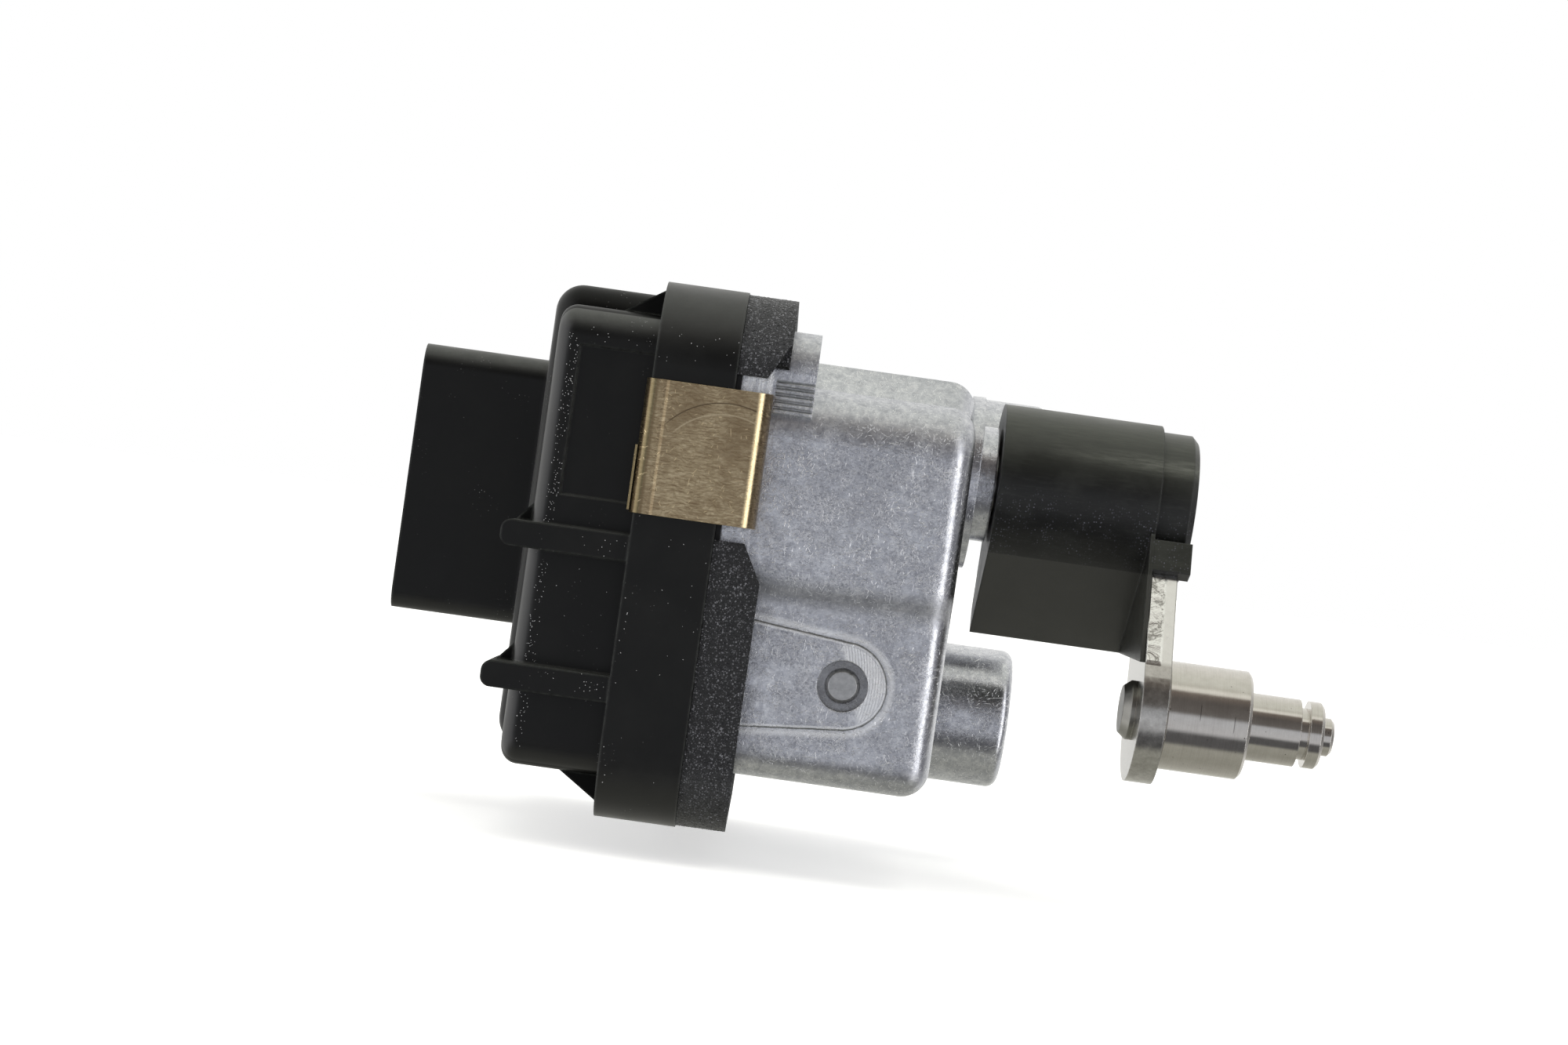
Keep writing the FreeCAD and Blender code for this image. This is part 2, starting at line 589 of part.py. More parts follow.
# Black moulded cover: rim and skirt, near box, far box, connector shell, ribs and gussets.
def makeRearCover():
    body = newBody("rear_cover")
    roundedBlock(body, "Pad", "Rim", rimBackX, ledgeX, rimInset("0"), "rimCorner")
    roundedBlock(body, "Pad", "Skirt", ledgeX, skirtEdgeX, rimInset("skirtStep"), "rimCorner - skirtStep")

    # The near box runs on under the rounded edge of the far box.
    farBox = ("-boxStep", "farBoxFar", "-farBoxBottom", "farBoxTop")
    nearBox = ("-nearBoxNear", "farBoxEdge - boxStep", "-nearBoxBottom", "nearBoxTop")
    padUp(body, "FarBox", "X", farBoxBackX, rimBackX, drawRectangle, *farBox)
    dressEdges(body, "Fillet", "FarBoxCorners", "boxCorner",
               edgesAlongX(farBoxBackX, rimBackX, cornersOf(*farBox)))
    dressEdges(body, "Fillet", "FarBoxBack", "farBoxEdge", edgesAt(farBoxBackX))
    padUp(body, "NearBox", "X", nearBoxBackX, rimBackX, drawRectangle, *nearBox)
    nearCorners = cornersOf(*nearBox)
    dressEdges(body, "Fillet", "NearBoxCorners", "boxCorner",
               edgesAlongX(nearBoxBackX, rimBackX, [nearCorners[0], nearCorners[3]]))
    dressEdges(body, "Fillet", "NearBoxBack", "boxEdge", edgesAt(nearBoxBackX, "-boxStep"))

    roundedBlock(body, "Pad", "Connector", connectorEndX, farBoxBackX, connectorBox("0"), "connectorCorner")
    dressEdges(body, "Fillet", "ConnectorRoot", "connectorRoot",
               edgesWithin(farBoxBackX, connectorBox("0")))

    for index, name in enumerate(("UpperRib", "LowerRib")):
        top = f"(-ribTop - {index} * ribPitch)"
        padUp(body, name, "Y", "-(nearBoxNear + ribProud)", "-boxStep", drawRectangle,
              f"{nearBoxBackX} - ribNose", rimBackX, f"{top} - ribHeight", top)
        dressEdges(body, "Fillet", name + "Nose", "ribRound",
                   edgesAlongY(f"{nearBoxBackX} - ribNose", (f"{top} - ribHeight", top)))
        padUp(body, name + "Web", "Y", "-(nearBoxNear - boxEdge)", "-boxStep", drawOutline,
              [(f"{nearBoxBackX} - ribNose + ribRound", top), (f"{nearBoxBackX} + boxEdge", top),
               (f"{nearBoxBackX} + boxEdge", f"{top} + 2 * ribWebHeight"),
               (f"{nearBoxBackX}", f"{top} + ribWebHeight")])
    cutOut(body, "SunkPanel", "Y", "-(nearBoxNear + ribProud)", "-(nearBoxNear - panelDepth)", drawRectangle,
           f"{nearBoxBackX} + panelMargin", rimBackX, "-panelBottom", "panelTop")

    for name, edgeZ, way in (("TopGusset", "nearBoxTop", "+"), ("BottomGusset", "(-nearBoxBottom)", "-")):
        padUp(body, name, "Y", "-(nearBoxNear - boxCorner)", "-(nearBoxNear - boxCorner - gussetWidth)",
              drawOutline, [(f"{rimBackX} - gussetLength", edgeZ), (rimBackX, edgeZ),
                            (rimBackX, f"{edgeZ} {way} gussetHeight")])

    # Inside: skirt, rim and both boxes are open towards the housing.
    roundedBlock(body, "Pocket", "SkirtSpace", ledgeX, skirtEdgeX, rimInset("skirtWall"),
                 "rimCorner - skirtWall")
    roundedBlock(body, "Pocket", "RimSpace", f"{rimBackX} + coverWall", ledgeX,
                 rimInset("skirtWall + ledgeWidth"), "rimCorner - skirtWall - ledgeWidth")
    cutOut(body, "FarBoxSpace", "X", f"{farBoxBackX} + coverWall", f"{rimBackX} + coverWall", drawRectangle,
           "-(boxStep - coverWall)", "farBoxFar - coverWall",
           "-(farBoxBottom - coverWall)", "farBoxTop - coverWall")
    cutOut(body, "NearBoxSpace", "X", f"{nearBoxBackX} + coverWall", f"{rimBackX} + coverWall",
           drawRectangle, "-(nearBoxNear - coverWall)", "-boxStep",
           "-(nearBoxBottom - coverWall)", "nearBoxTop - coverWall")

    roundedBlock(body, "Pocket", "Socket", connectorEndX, f"{connectorEndX} + socketDepth",
                 connectorBox("connectorWall"), "connectorCorner - connectorWall")
    cutOut(body, "PinSlots", "X", f"{connectorEndX} + socketDepth", f"{farBoxBackX} + coverWall", drawPins)

    padUp(body, "BoardPosts", "X", f"{farBoxBackX} + coverWall / 2", boardBackX, drawCircles,
          BOARD_POSTS, "boardPostRadius")
    cutOut(body, "BoardPostHoles", "X", f"{boardBackX} - boardScrewGrip", boardBackX, drawCircles,
           BOARD_POSTS, "boardScrewRadius")

    # A tapered window in the skirt at each clip lets its front leg reach the flange.
    for name, side, face, middle in CLIPS:
        half = "(clipWidth / 2 + windowMargin)"
        low = f"({middle} - {half})"
        high = f"({middle} + {half})"
        outside = f"{side} * ({face} + cutBeyond)"
        inside = f"{side} * ({face} - skirtWall - skirtGap)"
        start, end = (outside, inside) if side < 0 else (inside, outside)
        taperX = f"({flangeFrontX} - windowLand)"
        cutOut(body, "Window_" + name, "Y", start, end, drawOutline,
               [(ledgeX, low), (taperX, low), (skirtEdgeX, f"{low} - windowTaper"),
                (skirtEdgeX, f"{high} + windowTaper"), (taperX, high), (ledgeX, high)])
    return body


# Five blades, from the board through the cover into the socket.
def makeConnectorPins():
    body = newBody("connector_pins")
    padUp(body, "Blades", "X", f"{connectorEndX} + socketDepth - pinReach", boardBackX, drawPins)
    return body


def makeCoverGasket():
    body = newBody("cover_gasket")
    roundedBlock(body, "Pad", "Ring", ledgeX, flangeBackX, rimInset("skirtWall + skirtGap"),
                 "rimCorner - skirtWall - skirtGap")
    roundedBlock(body, "Pocket", "Opening", ledgeX, flangeBackX,
                 rimInset("skirtWall + ledgeWidth"), "rimCorner - skirtWall - ledgeWidth")
    return body


# Die-cast housing: flange, gear space, bearing tower, worm boss, motor wall and mounting bosses.
def makeGearHousing():
    body = newBody("gear_housing")
    roundedBlock(body, "Pad", "Flange", flangeBackX, flangeFrontX, rimInset("skirtWall + skirtGap"),
                 "rimCorner - skirtWall - skirtGap")
    # The lower part of the near face is set back behind a soft slope.
    section = [(lowerFaceY, "-housingBottom"), ("housingFar", "-housingBottom"),
               ("housingFar", "housingTop"), ("-topStep", "housingTop"),
               ("-topStep - housingTop + housingTopNear", "housingTopNear"),
               ("-housingNear", "housingTopNear"), ("-housingNear", "-stepTop"),
               (lowerFaceY, "-(stepTop + stepHeight)")]
    padUp(body, "Case", "X", flangeFrontX, frontX, drawOutline, section)
    outer = [section[0], section[1], section[2]]
    dressEdges(body, "Fillet", "CaseCorners", "housingEdge", edgesAlongX(flangeFrontX, frontX, outer))
    dressEdges(body, "Fillet", "TopRounding", "topRound", edgesAlongX(flangeFrontX, frontX, section[5:6]))
    dressEdges(body, "Fillet", "StepSlope", "stepRound", edgesAlongX(flangeFrontX, frontX, section[6:]))
    dressEdges(body, "Fillet", "FrontEdges", "frontEdge", edgesAt(frontX))

    # The pad round the thrust pin stands on the lower part.
    padUp(body, "TongueRound", "Y", padFaceY, cavityNearY, drawCircle, wormX, wormZ, "tongueRadius")
    padUp(body, "TongueFlare", "Y", padFaceY, cavityNearY, drawOutline,
          [(flangeFrontX, f"{wormZ} - tongueRadius - tongueFlare"), (wormX, f"{wormZ} - tongueRadius"),
           (wormX, f"{wormZ} + tongueRadius"), (flangeFrontX, f"{wormZ} + tongueRadius + tongueFlare")])
    padUp(body, "Ear", "X", flangeFrontX, f"{flangeFrontX} + earLength", drawCircle,
          "-earY", "earTop", "earRadius")
    padUp(body, "EarFoot", "X", flangeFrontX, f"{flangeFrontX} + earLength", drawRectangle,
          "-(earY + earRadius)", "-earY", "earFoot", "earTop")

    padUp(body, "Dome", "X", frontX, f"{frontX} + domeLength", drawCircle, "0", "0", "domeRadius")
    padUp(body, "Tower", "X", frontX, towerX, drawCircle, "0", "0", "towerRadius")
    mounts = [("mountY", "-mountLow"), ("mountY", "mountPitch - mountLow")]
    padUp(body, "MountBosses", "X", flangeFrontX, "0", drawCircles, mounts, "mountRadius")
    dressEdges(body, "Fillet", "MountEnds", "mountEdge", edgesAt("0"))

    # Gear space, open towards the cover, and what stands in it.
    box = (cavityNearY, cavityFarY, cavityBottomZ, cavityTopZ)
    roundedBlock(body, "Pocket", "GearSpace", flangeBackX, cavityX, box, "cavityCorner")
    padUp(body, "InnerBoss", "X", innerBossX, cavityX, drawCircle, "0", "0", "towerRadius")
    padUp(body, "WormBoss", "Y", cavityNearY, "-wormBossNear", drawCircle, wormX, wormZ, "wormBossRadius")
    padUp(body, "MotorWall", "Y", bulkheadNearY, "motorNear", drawOutline,
          [(f"{wormX} - motorRadius - bulkheadSide", f"{wormZ} + bulkheadTop"),
           (f"{wormX} - motorRadius - bulkheadSide", cavityBottomZ), (cavityX, cavityBottomZ),
           (cavityX, f"{wormZ} + bulkheadTop")])

    # Bores.
    cutOut(body, "SealBore", "X", f"{towerX} - sealLength", towerX, drawCircle, "0", "0", "sealRadius")
    cutOut(body, "BushBore", "X", innerBossX, f"{towerX} - sealLength", drawCircle,
           "0", "0", "shaftRadius + shaftFit + bushWall")
    cutOut(body, "MountHoles", "X", "-mountHoleDepth", "0", drawCircles, mounts, "mountHole")
    cutOut(body, "WormBushBore", "Y", "-(wormBossNear + wormBushLength)", "-wormBossNear", drawCircle,
           wormX, wormZ, "wormBushRadius")
    cutOut(body, "ThrustPinBore", "Y", padFaceY, "-(wormBossNear + wormBushLength)", drawCircle,
           wormX, wormZ, "thrustPinRadius")
    cutOut(body, "ThrustPinCounterbore", "Y", padFaceY, f"{padFaceY} + counterboreDepth", drawCircle,
           wormX, wormZ, "counterboreRadius")
    cutOut(body, "MotorNoseBore", "Y", bulkheadNearY, "motorNear", drawCircle,
           wormX, wormZ, "motorNose + motorFit")
    cutOut(body, "MotorScrewHoles", "Y", bulkheadNearY, "motorNear", drawCircles,
           motorScrewPlaces, "motorScrewRadius + motorFit")
    return body


motorScrewPlaces = [(f"{wormX} - motorScrewOffset", wormZ), (f"{wormX} + motorScrewOffset", wormZ)]


# One spring clip of bent sheet, which holds the rim on the flange.
def makeClip(label, side, face, middle):
    body = newBody(label)
    outer = f"{side} * ({face} + clipSheet)"
    inner = f"{side} * ({face})"
    backLeg = f"{side} * ({face} - clipLegBack + clipSheet)"
    frontLeg = f"{side} * ({face} - clipLegFront)"
    grooveX = f"({rimBackX} - clipSheet + 2 * clipBend)"
    grooveFloor = f"{side} * ({face} + clipSheet - clipGroove)"
    padUp(body, "Sheet", "Z", f"{middle} - clipWidth / 2", f"{middle} + clipWidth / 2", drawOutline,
          [(f"{rimBackX} - clipSheet", outer), (grooveX, outer),
           (f"{grooveX} + clipGrooveWidth / 2", grooveFloor), (f"{grooveX} + clipGrooveWidth", outer),
           (f"{flangeFrontX} + clipSheet", outer),
           (f"{flangeFrontX} + clipSheet", frontLeg), (flangeFrontX, frontLeg),
           (flangeFrontX, inner), (rimBackX, inner), (rimBackX, backLeg),
           (f"{rimBackX} - clipSheet", backLeg)])
    corners = [(number(f"{rimBackX} - clipSheet"), number(outer)),
               (number(f"{flangeFrontX} + clipSheet"), number(outer))]

    def bends(edge):
        middlePoint = edge.BoundBox.Center
        at = any(near(middlePoint.x, x) and near(middlePoint.y, y) for x, y in corners)
        return runsAlong(edge, alongZ) and at
    dressEdges(body, "Fillet", "Bends", "clipBend", bends)
    lip = sorted((inner, backLeg), key=number)
    padUp(body, "PressedLip", "Z", f"{middle} - clipWidth / 2 + clipLip", middle, drawRectangle,
          f"{rimBackX} - clipSheet - clipLip", f"{rimBackX} - clipSheet", *lip)
    return body


# Motor and worm stand on the worm's axis, which runs along Y.
def onWormAxis(label):
    body = newBody(label)
    moveTo(body, wormX, "0", wormZ)
    return body


def makeMotorCan():
    body = onWormAxis("motor_can")
    turn(body, "Can", "Y", [
        ("spindleRadius + spindleFit", "motorNear - motorNoseLength"),
        ("motorNose", "motorNear - motorNoseLength"), ("motorNose", "motorNear"),
        ("motorRadius", "motorNear"), ("motorRadius", motorFarY),
        ("motorRadius - motorWall", motorFarY), ("motorRadius - motorWall", "motorNear + motorWall"),
        ("spindleRadius + spindleFit", "motorNear + motorWall")])
    cutOut(body, "ScrewHoles", "Y", "motorNear", "motorNear + motorWall", drawCircles,
           [("-motorScrewOffset", "0"), ("motorScrewOffset", "0")], "motorScrewRadius")
    return body


def makeMotorEndCap():
    body = onWormAxis("motor_end_cap")
    turn(body, "Cap", "Y", [
        ("spindleRadius + spindleFit", f"{motorFarY} - endCapLength / 2"),
        ("motorRadius - motorWall", f"{motorFarY} - endCapLength / 2"),
        ("motorRadius - motorWall", f"{motorFarY} + endCapLength / 2"),
        ("spindleRadius + spindleFit", f"{motorFarY} + endCapLength / 2")])
    return body


def makeMotorMagnets():
    body = onWormAxis("motor_magnets")
    magnetFar = "magnetNear + magnetLength"
    turn(body, "Ring", "Y", [
        ("motorRadius - motorWall - magnetThickness", "magnetNear"),
        ("motorRadius - motorWall", "magnetNear"), ("motorRadius - motorWall", magnetFar),
        ("motorRadius - motorWall - magnetThickness", magnetFar)])
    cutOut(body, "Gaps", "Y", "magnetNear", magnetFar, drawRectangle,
           "-motorRadius", "motorRadius", "-magnetGap / 2", "magnetGap / 2")
    return body


# Slotted core, windings' envelope and commutator, as one wound part.
def makeMotorRotor():
    body = onWormAxis("motor_rotor")
    rotorRadius = "motorRadius - motorWall - magnetThickness - rotorGap"
    magnetFar = "magnetNear + magnetLength"
    turn(body, "Core", "Y", [
        ("spindleRadius", "magnetNear"), (rotorRadius, "magnetNear"), (rotorRadius, magnetFar),
        ("commutatorRadius", magnetFar), ("commutatorRadius", f"{magnetFar} + commutatorLength"),
        ("spindleRadius", f"{magnetFar} + commutatorLength")])
    slot = cutOut(body, "Slot", "Y", "magnetNear", magnetFar, drawRectangle,
                  "-rotorSlotWidth / 2", "rotorSlotWidth / 2", "commutatorRadius", "motorRadius")
    pattern = body.newObject("PartDesign::PolarPattern", "Slots")
    pattern.Originals = [slot]
    pattern.Axis = (slot.Profile[0], ["N_Axis"])
    pattern.Angle = 360
    pattern.Occurrences = 5
    body.Tip = pattern
    doc.recompute()
    return body


def makeMotorShaft():
    body = onWormAxis("motor_shaft")
    turn(body, "Spindle", "Y", [("0", "-spindleNear"), ("spindleRadius", "-spindleNear"),
                                ("spindleRadius", "spindleFar"), ("0", "spindleFar")])
    return body


def makeMotorTerminals():
    body = onWormAxis("motor_terminals")
    capEnd = f"({motorFarY} + endCapLength / 2)"

    def drawTabs(sketch):
        for side in (-1, 1):
            middle = f"({side} * terminalOffset)"
            drawRectangle(sketch, "-motorRadius / 2 - terminalReach", "-motorRadius / 2",
                          f"{middle} - terminalWidth / 2", f"{middle} + terminalWidth / 2")
    padUp(body, "Tabs", "Y", capEnd, f"{capEnd} + terminalThickness", drawTabs)
    return body


def makeMotorScrews():
    body = onWormAxis("motor_screws")
    places = [("-motorScrewOffset", "0"), ("motorScrewOffset", "0")]
    padUp(body, "Heads", "Y", f"{bulkheadNearY} - motorScrewHeadLength", bulkheadNearY, drawCircles,
          places, "motorScrewHead")
    padUp(body, "Shanks", "Y", bulkheadNearY, "motorNear + motorScrewGrip", drawCircles,
          places, "motorScrewRadius")
    return body


# Blades from the board to the motor's terminals, just behind the tabs.
def makeMotorContacts():
    body = newBody("motor_contacts")
    tabY = f"({motorFarY} + endCapLength / 2 + terminalThickness)"

    def drawBlades(sketch):
        for side in (-1, 1):
            middle = f"({wormZ} + {side} * terminalOffset)"
            drawRectangle(sketch, tabY, f"{tabY} + terminalThickness",
                          f"{middle} - terminalWidth / 2", f"{middle} + terminalWidth / 2")
    padUp(body, "Blades", "X", boardFrontX, f"{wormX} - motorRadius / 2", drawBlades)
    return body


# Worm: a helical thread of trapezoid section on a core.
def makeWorm():
    pitch = math.pi * number("module")
    tip, root = number(wormTip), number(wormRoot)
    middle = number("wormPitchRadius")
    slope = math.tan(math.radians(number("pressureAngle")))
    half = pitch / 4 - number("wormBacklash") / 2
    # A gap between two turns of the thread lies under the sector's middle tooth.
    start = -pitch * (number("wormTurns") // 2 + 0.25)
    sunk = root - number("wormThreadRoot")
    helix = Part.makeHelix(pitch, pitch * number("wormTurns"), middle)
    section = Part.makePolygon([
        Vector(tip, 0, -(half - (tip - middle) * slope)), Vector(tip, 0, half - (tip - middle) * slope),
        Vector(sunk, 0, half + (middle - sunk) * slope), Vector(sunk, 0, -half - (middle - sunk) * slope),
        Vector(tip, 0, -(half - (tip - middle) * slope))])
    thread = Part.Wire(helix).makePipeShell([section], True, True)
    thread.translate(Vector(0, 0, start))
    core = Part.makeCylinder(root, number("wormCoreLength"), Vector(0, 0, -number("wormNear")))
    bore = Part.makeCylinder(number("spindleRadius"), number("wormCoreLength"),
                             Vector(0, 0, -number("wormNear")))
    solid = core.fuse(thread).cut(bore).Solids[0]
    solid.rotate(Vector(0, 0, 0), Vector(1, 0, 0), -90)
    worm = doc.addObject("Part::Feature", "worm")
    worm.Label = "worm"
    worm.Shape = solid
    worm.Placement = FreeCAD.Placement(Vector(number(wormX), 0, number(wormZ)), worm.Placement.Rotation)
    return worm


def makeWormBush():
    body = onWormAxis("worm_bush")
    inner = "spindleRadius + spindleFit"
    turn(body, "Bush", "Y", [
        (inner, "-(wormBossNear + wormBushLength)"), ("wormBushRadius", "-(wormBossNear + wormBushLength)"),
        ("wormBushRadius", "-wormBossNear"), ("wormBushFlange", "-wormBossNear"),
        ("wormBushFlange", "-wormNear - axialPlay"), (inner, "-wormNear - axialPlay")])
    return body


def makeThrustPin():
    body = onWormAxis("worm_thrust_pin")
    head = f"({padFaceY} + thrustPinRecess)"
    turn(body, "Pin", "Y", [
        ("0", head), ("thrustPinRadius - pinChamfer", head), ("thrustPinRadius", f"{head} + pinChamfer"),
        ("thrustPinRadius", "-thrustPinEnd"), ("0", "-thrustPinEnd")])
    return body


# Sector of the worm wheel: hub, web and teeth, which point down at rest.
def makeWormSector():
    body = newBody("worm_sector")
    web = [(f"{side} * ({sectorRoot}) * sin({share} * sectorHalfAngle * 1deg)",
            f"-({sectorRoot}) * cos({share} * sectorHalfAngle * 1deg)")
           for side, share in ((-1, 1), (-1, 0.75), (-1, 0.5), (-1, 0.25), (1, 0), (1, 0.25), (1, 0.5),
                               (1, 0.75), (1, 1))]
    padUp(body, "Hub", "X", sectorBackX, sectorFrontX, drawCircle, "0", "0", "sectorHub")
    padUp(body, "Web", "X", sectorBackX, sectorFrontX, drawOutline,
          web + [("shaftRadius", "0"), ("-shaftRadius", "0")])
    half = "(module * pi / 4 - sectorBacklash / 2)"
    slope = "tan(pressureAngle * 1deg)"
    sunk = "(wormThreadRoot * module)"
    tooth = padUp(body, "Tooth", "X", sectorBackX, sectorFrontX, drawOutline, [
        (f"-{half} - (dedendum * module + {sunk}) * {slope}", f"-{sectorRoot} + {sunk}"),
        (f"-{half} + module * {slope}", f"-{sectorTip}"),
        (f"{half} - module * {slope}", f"-{sectorTip}"),
        (f"{half} + (dedendum * module + {sunk}) * {slope}", f"-{sectorRoot} + {sunk}")])
    teeth = int(number("sectorTeeth"))
    for name, reverse in (("TeethOneWay", False), ("TeethOtherWay", True)):
        pattern = body.newObject("PartDesign::PolarPattern", name)
        pattern.Originals = [tooth]
        pattern.Axis = (tooth.Profile[0], ["N_Axis"])
        pattern.Reversed = reverse
        pattern.Occurrences = (teeth + 1) // 2
        bind(pattern, "Angle", "floor(sectorTeeth / 2) * 180 * module / sectorPitchRadius")
        body.Tip = pattern
        doc.recompute()
    cutOut(body, "Bore", "X", sectorBackX, sectorFrontX, drawCircle, "0", "0", "shaftRadius")
    return body


def makeOutputShaft():
    body = newBody("output_shaft")
    turn(body, "Shaft", "X", [
        (tailX, "0"), (tailX, "tailRadius"), (sectorBackX, "tailRadius"),
        (sectorBackX, "shaftRadius"), (f"{shaftFrontX} - pinChamfer", "shaftRadius"),
        (shaftFrontX, "shaftRadius - pinChamfer"), (shaftFrontX, "0")])
    return body


def makeShaftBush(label, start):
    body = newBody(label)
    turn(body, "Bush", "X", [
        (start, "shaftRadius + shaftFit"), (f"{start} + bushLength", "shaftRadius + shaftFit"),
        (f"{start} + bushLength", "shaftRadius + shaftFit + bushWall"),
        (start, "shaftRadius + shaftFit + bushWall")])
    return body


def makeShaftSeal():
    body = newBody("shaft_seal")
    back = f"({towerX} - sealLength)"
    turn(body, "Seal", "X", [
        (back, "sealRadius"), (back, "shaftRadius + sealLip + sealRelief"),
        (f"{back} + sealLength / 3", "shaftRadius + sealLip + sealRelief"),
        (f"{back} + sealLength * 2 / 3", "shaftRadius + sealLip"),
        (towerX, "shaftRadius + sealLip + sealRelief"), (towerX, "sealRadius")])
    return body


def makeShaftWasher():
    body = newBody("shaft_washer")
    start = f"({innerBossX} - axialPlay - washerThickness)"
    turn(body, "Washer", "X", [
        (start, "shaftRadius + sealLip"), (f"{start} + washerThickness", "shaftRadius + sealLip"),
        (f"{start} + washerThickness", "washerRadius"), (start, "washerRadius")])
    return body


def makeSensorRotor():
    body = newBody("sensor_rotor")
    front = f"({tailX} + sensorRotorLength)"
    turn(body, "Holder", "X", [
        (tailX, "tailRadius"), (tailX, "sensorRotorRadius"), (front, "sensorRotorRadius"),
        (front, "tailRadius")])
    return body


def makeCircuitBoard():
    body = newBody("circuit_board")
    margin = "skirtWall + ledgeWidth + boardMargin"
    roundedBlock(body, "Pad", "Board", boardBackX, boardFrontX, rimInset(margin), "boxCorner")
    cutOut(body, "ScrewHoles", "X", boardBackX, boardFrontX, drawCircles, BOARD_POSTS, "boardScrewRadius")
    return body


def makeBoardScrews():
    body = newBody("board_screws")
    padUp(body, "Heads", "X", boardFrontX, f"{boardFrontX} + boardScrewHeadLength", drawCircles,
          BOARD_POSTS, "boardScrewHead")
    padUp(body, "Shanks", "X", f"{boardBackX} - boardScrewGrip", boardFrontX, drawCircles,
          BOARD_POSTS, "boardScrewRadius")
    return body


# Sensor chip in front of the board, controller, capacitors and coil behind it.
def makeBoardComponents():
    body = newBody("board_components")
    padUp(body, "SensorChip", "X", boardFrontX, f"{boardFrontX} + chipThickness", drawRectangle,
          "-chipSide / 2", "chipSide / 2", "-chipSide / 2", "chipSide / 2")
    padUp(body, "Controller", "X", f"{boardBackX} - chipThickness", boardBackX, drawRectangle,
          "controllerNear", "controllerNear + controllerSide", "-controllerSide", "0")
    padUp(body, "Capacitors", "X", f"{boardBackX} - capacitorLength", boardBackX, drawCircles,
          [("capacitorAway", "-capacitorLow"), ("capacitorAway + capacitorPitch", "-capacitorLow")],
          "capacitorRadius")
    padUp(body, "Coil", "X", f"{boardBackX} - coilLength", boardBackX, drawRectangle,
          "coilNear", "coilNear + coilSide", "-coilLow", "-coilLow + coilSide")
    return body


# The lever arm's outline in its own frame: shaft eye at the origin, pin eye straight down.
def drawArm(sketch, play):
    root = number(f"armRoot + {play}")
    eye = number(f"armEye + {play}")
    reach = number("armLength")
    tilt = math.asin((eye - root) / reach)
    rootPoint = Vector(root * math.cos(tilt), root * math.sin(tilt), 0)
    eyePoint = Vector(eye * math.cos(tilt), eye * math.sin(tilt) - reach, 0)
    mirror = [Vector(-point.x, point.y, 0) for point in (rootPoint, eyePoint)]
    sketch.addGeometry(Part.Arc(rootPoint, Vector(0, root, 0), mirror[0]), False)
    sketch.addGeometry(Part.LineSegment(mirror[0], mirror[1]), False)
    sketch.addGeometry(Part.Arc(mirror[1], Vector(0, -reach - eye, 0), eyePoint), False)
    sketch.addGeometry(Part.LineSegment(eyePoint, rootPoint), False)
    for index in range(4):
        sketch.addConstraint(Sketcher.Constraint("Tangent", index, 2, (index + 1) % 4, 1))
    sketch.addConstraint(Sketcher.Constraint("Coincident", 0, 3, -1, 1))
    hold(sketch, "DistanceX", 2, 3, "0")
    hold(sketch, "DistanceY", 2, 3, "-armLength")
    hold(sketch, "Radius", 0, 0, f"armRoot + {play}")
    hold(sketch, "Radius", 2, 0, f"armEye + {play}")


# Parts of the lever are drawn with the arm straight down and turned to its rest angle.
def onLever(label):
    body = newBody(label)
    body.Placement.Rotation = FreeCAD.Rotation(alongX, -number("armAngle"))
    return body


def makeLeverArm():
    body = onLever("lever_arm")
    padUp(body, "Plate", "X", "armBack", armFrontX, drawArm, "0")
    cutOut(body, "ShaftHole", "X", "armBack", armFrontX, drawCircle,
           "0", "0", "shaftRadius")
    cutOut(body, "PinHole", "X", "armBack", armFrontX, drawCircle,
           "0", "-armLength", "pinShank")
    return body


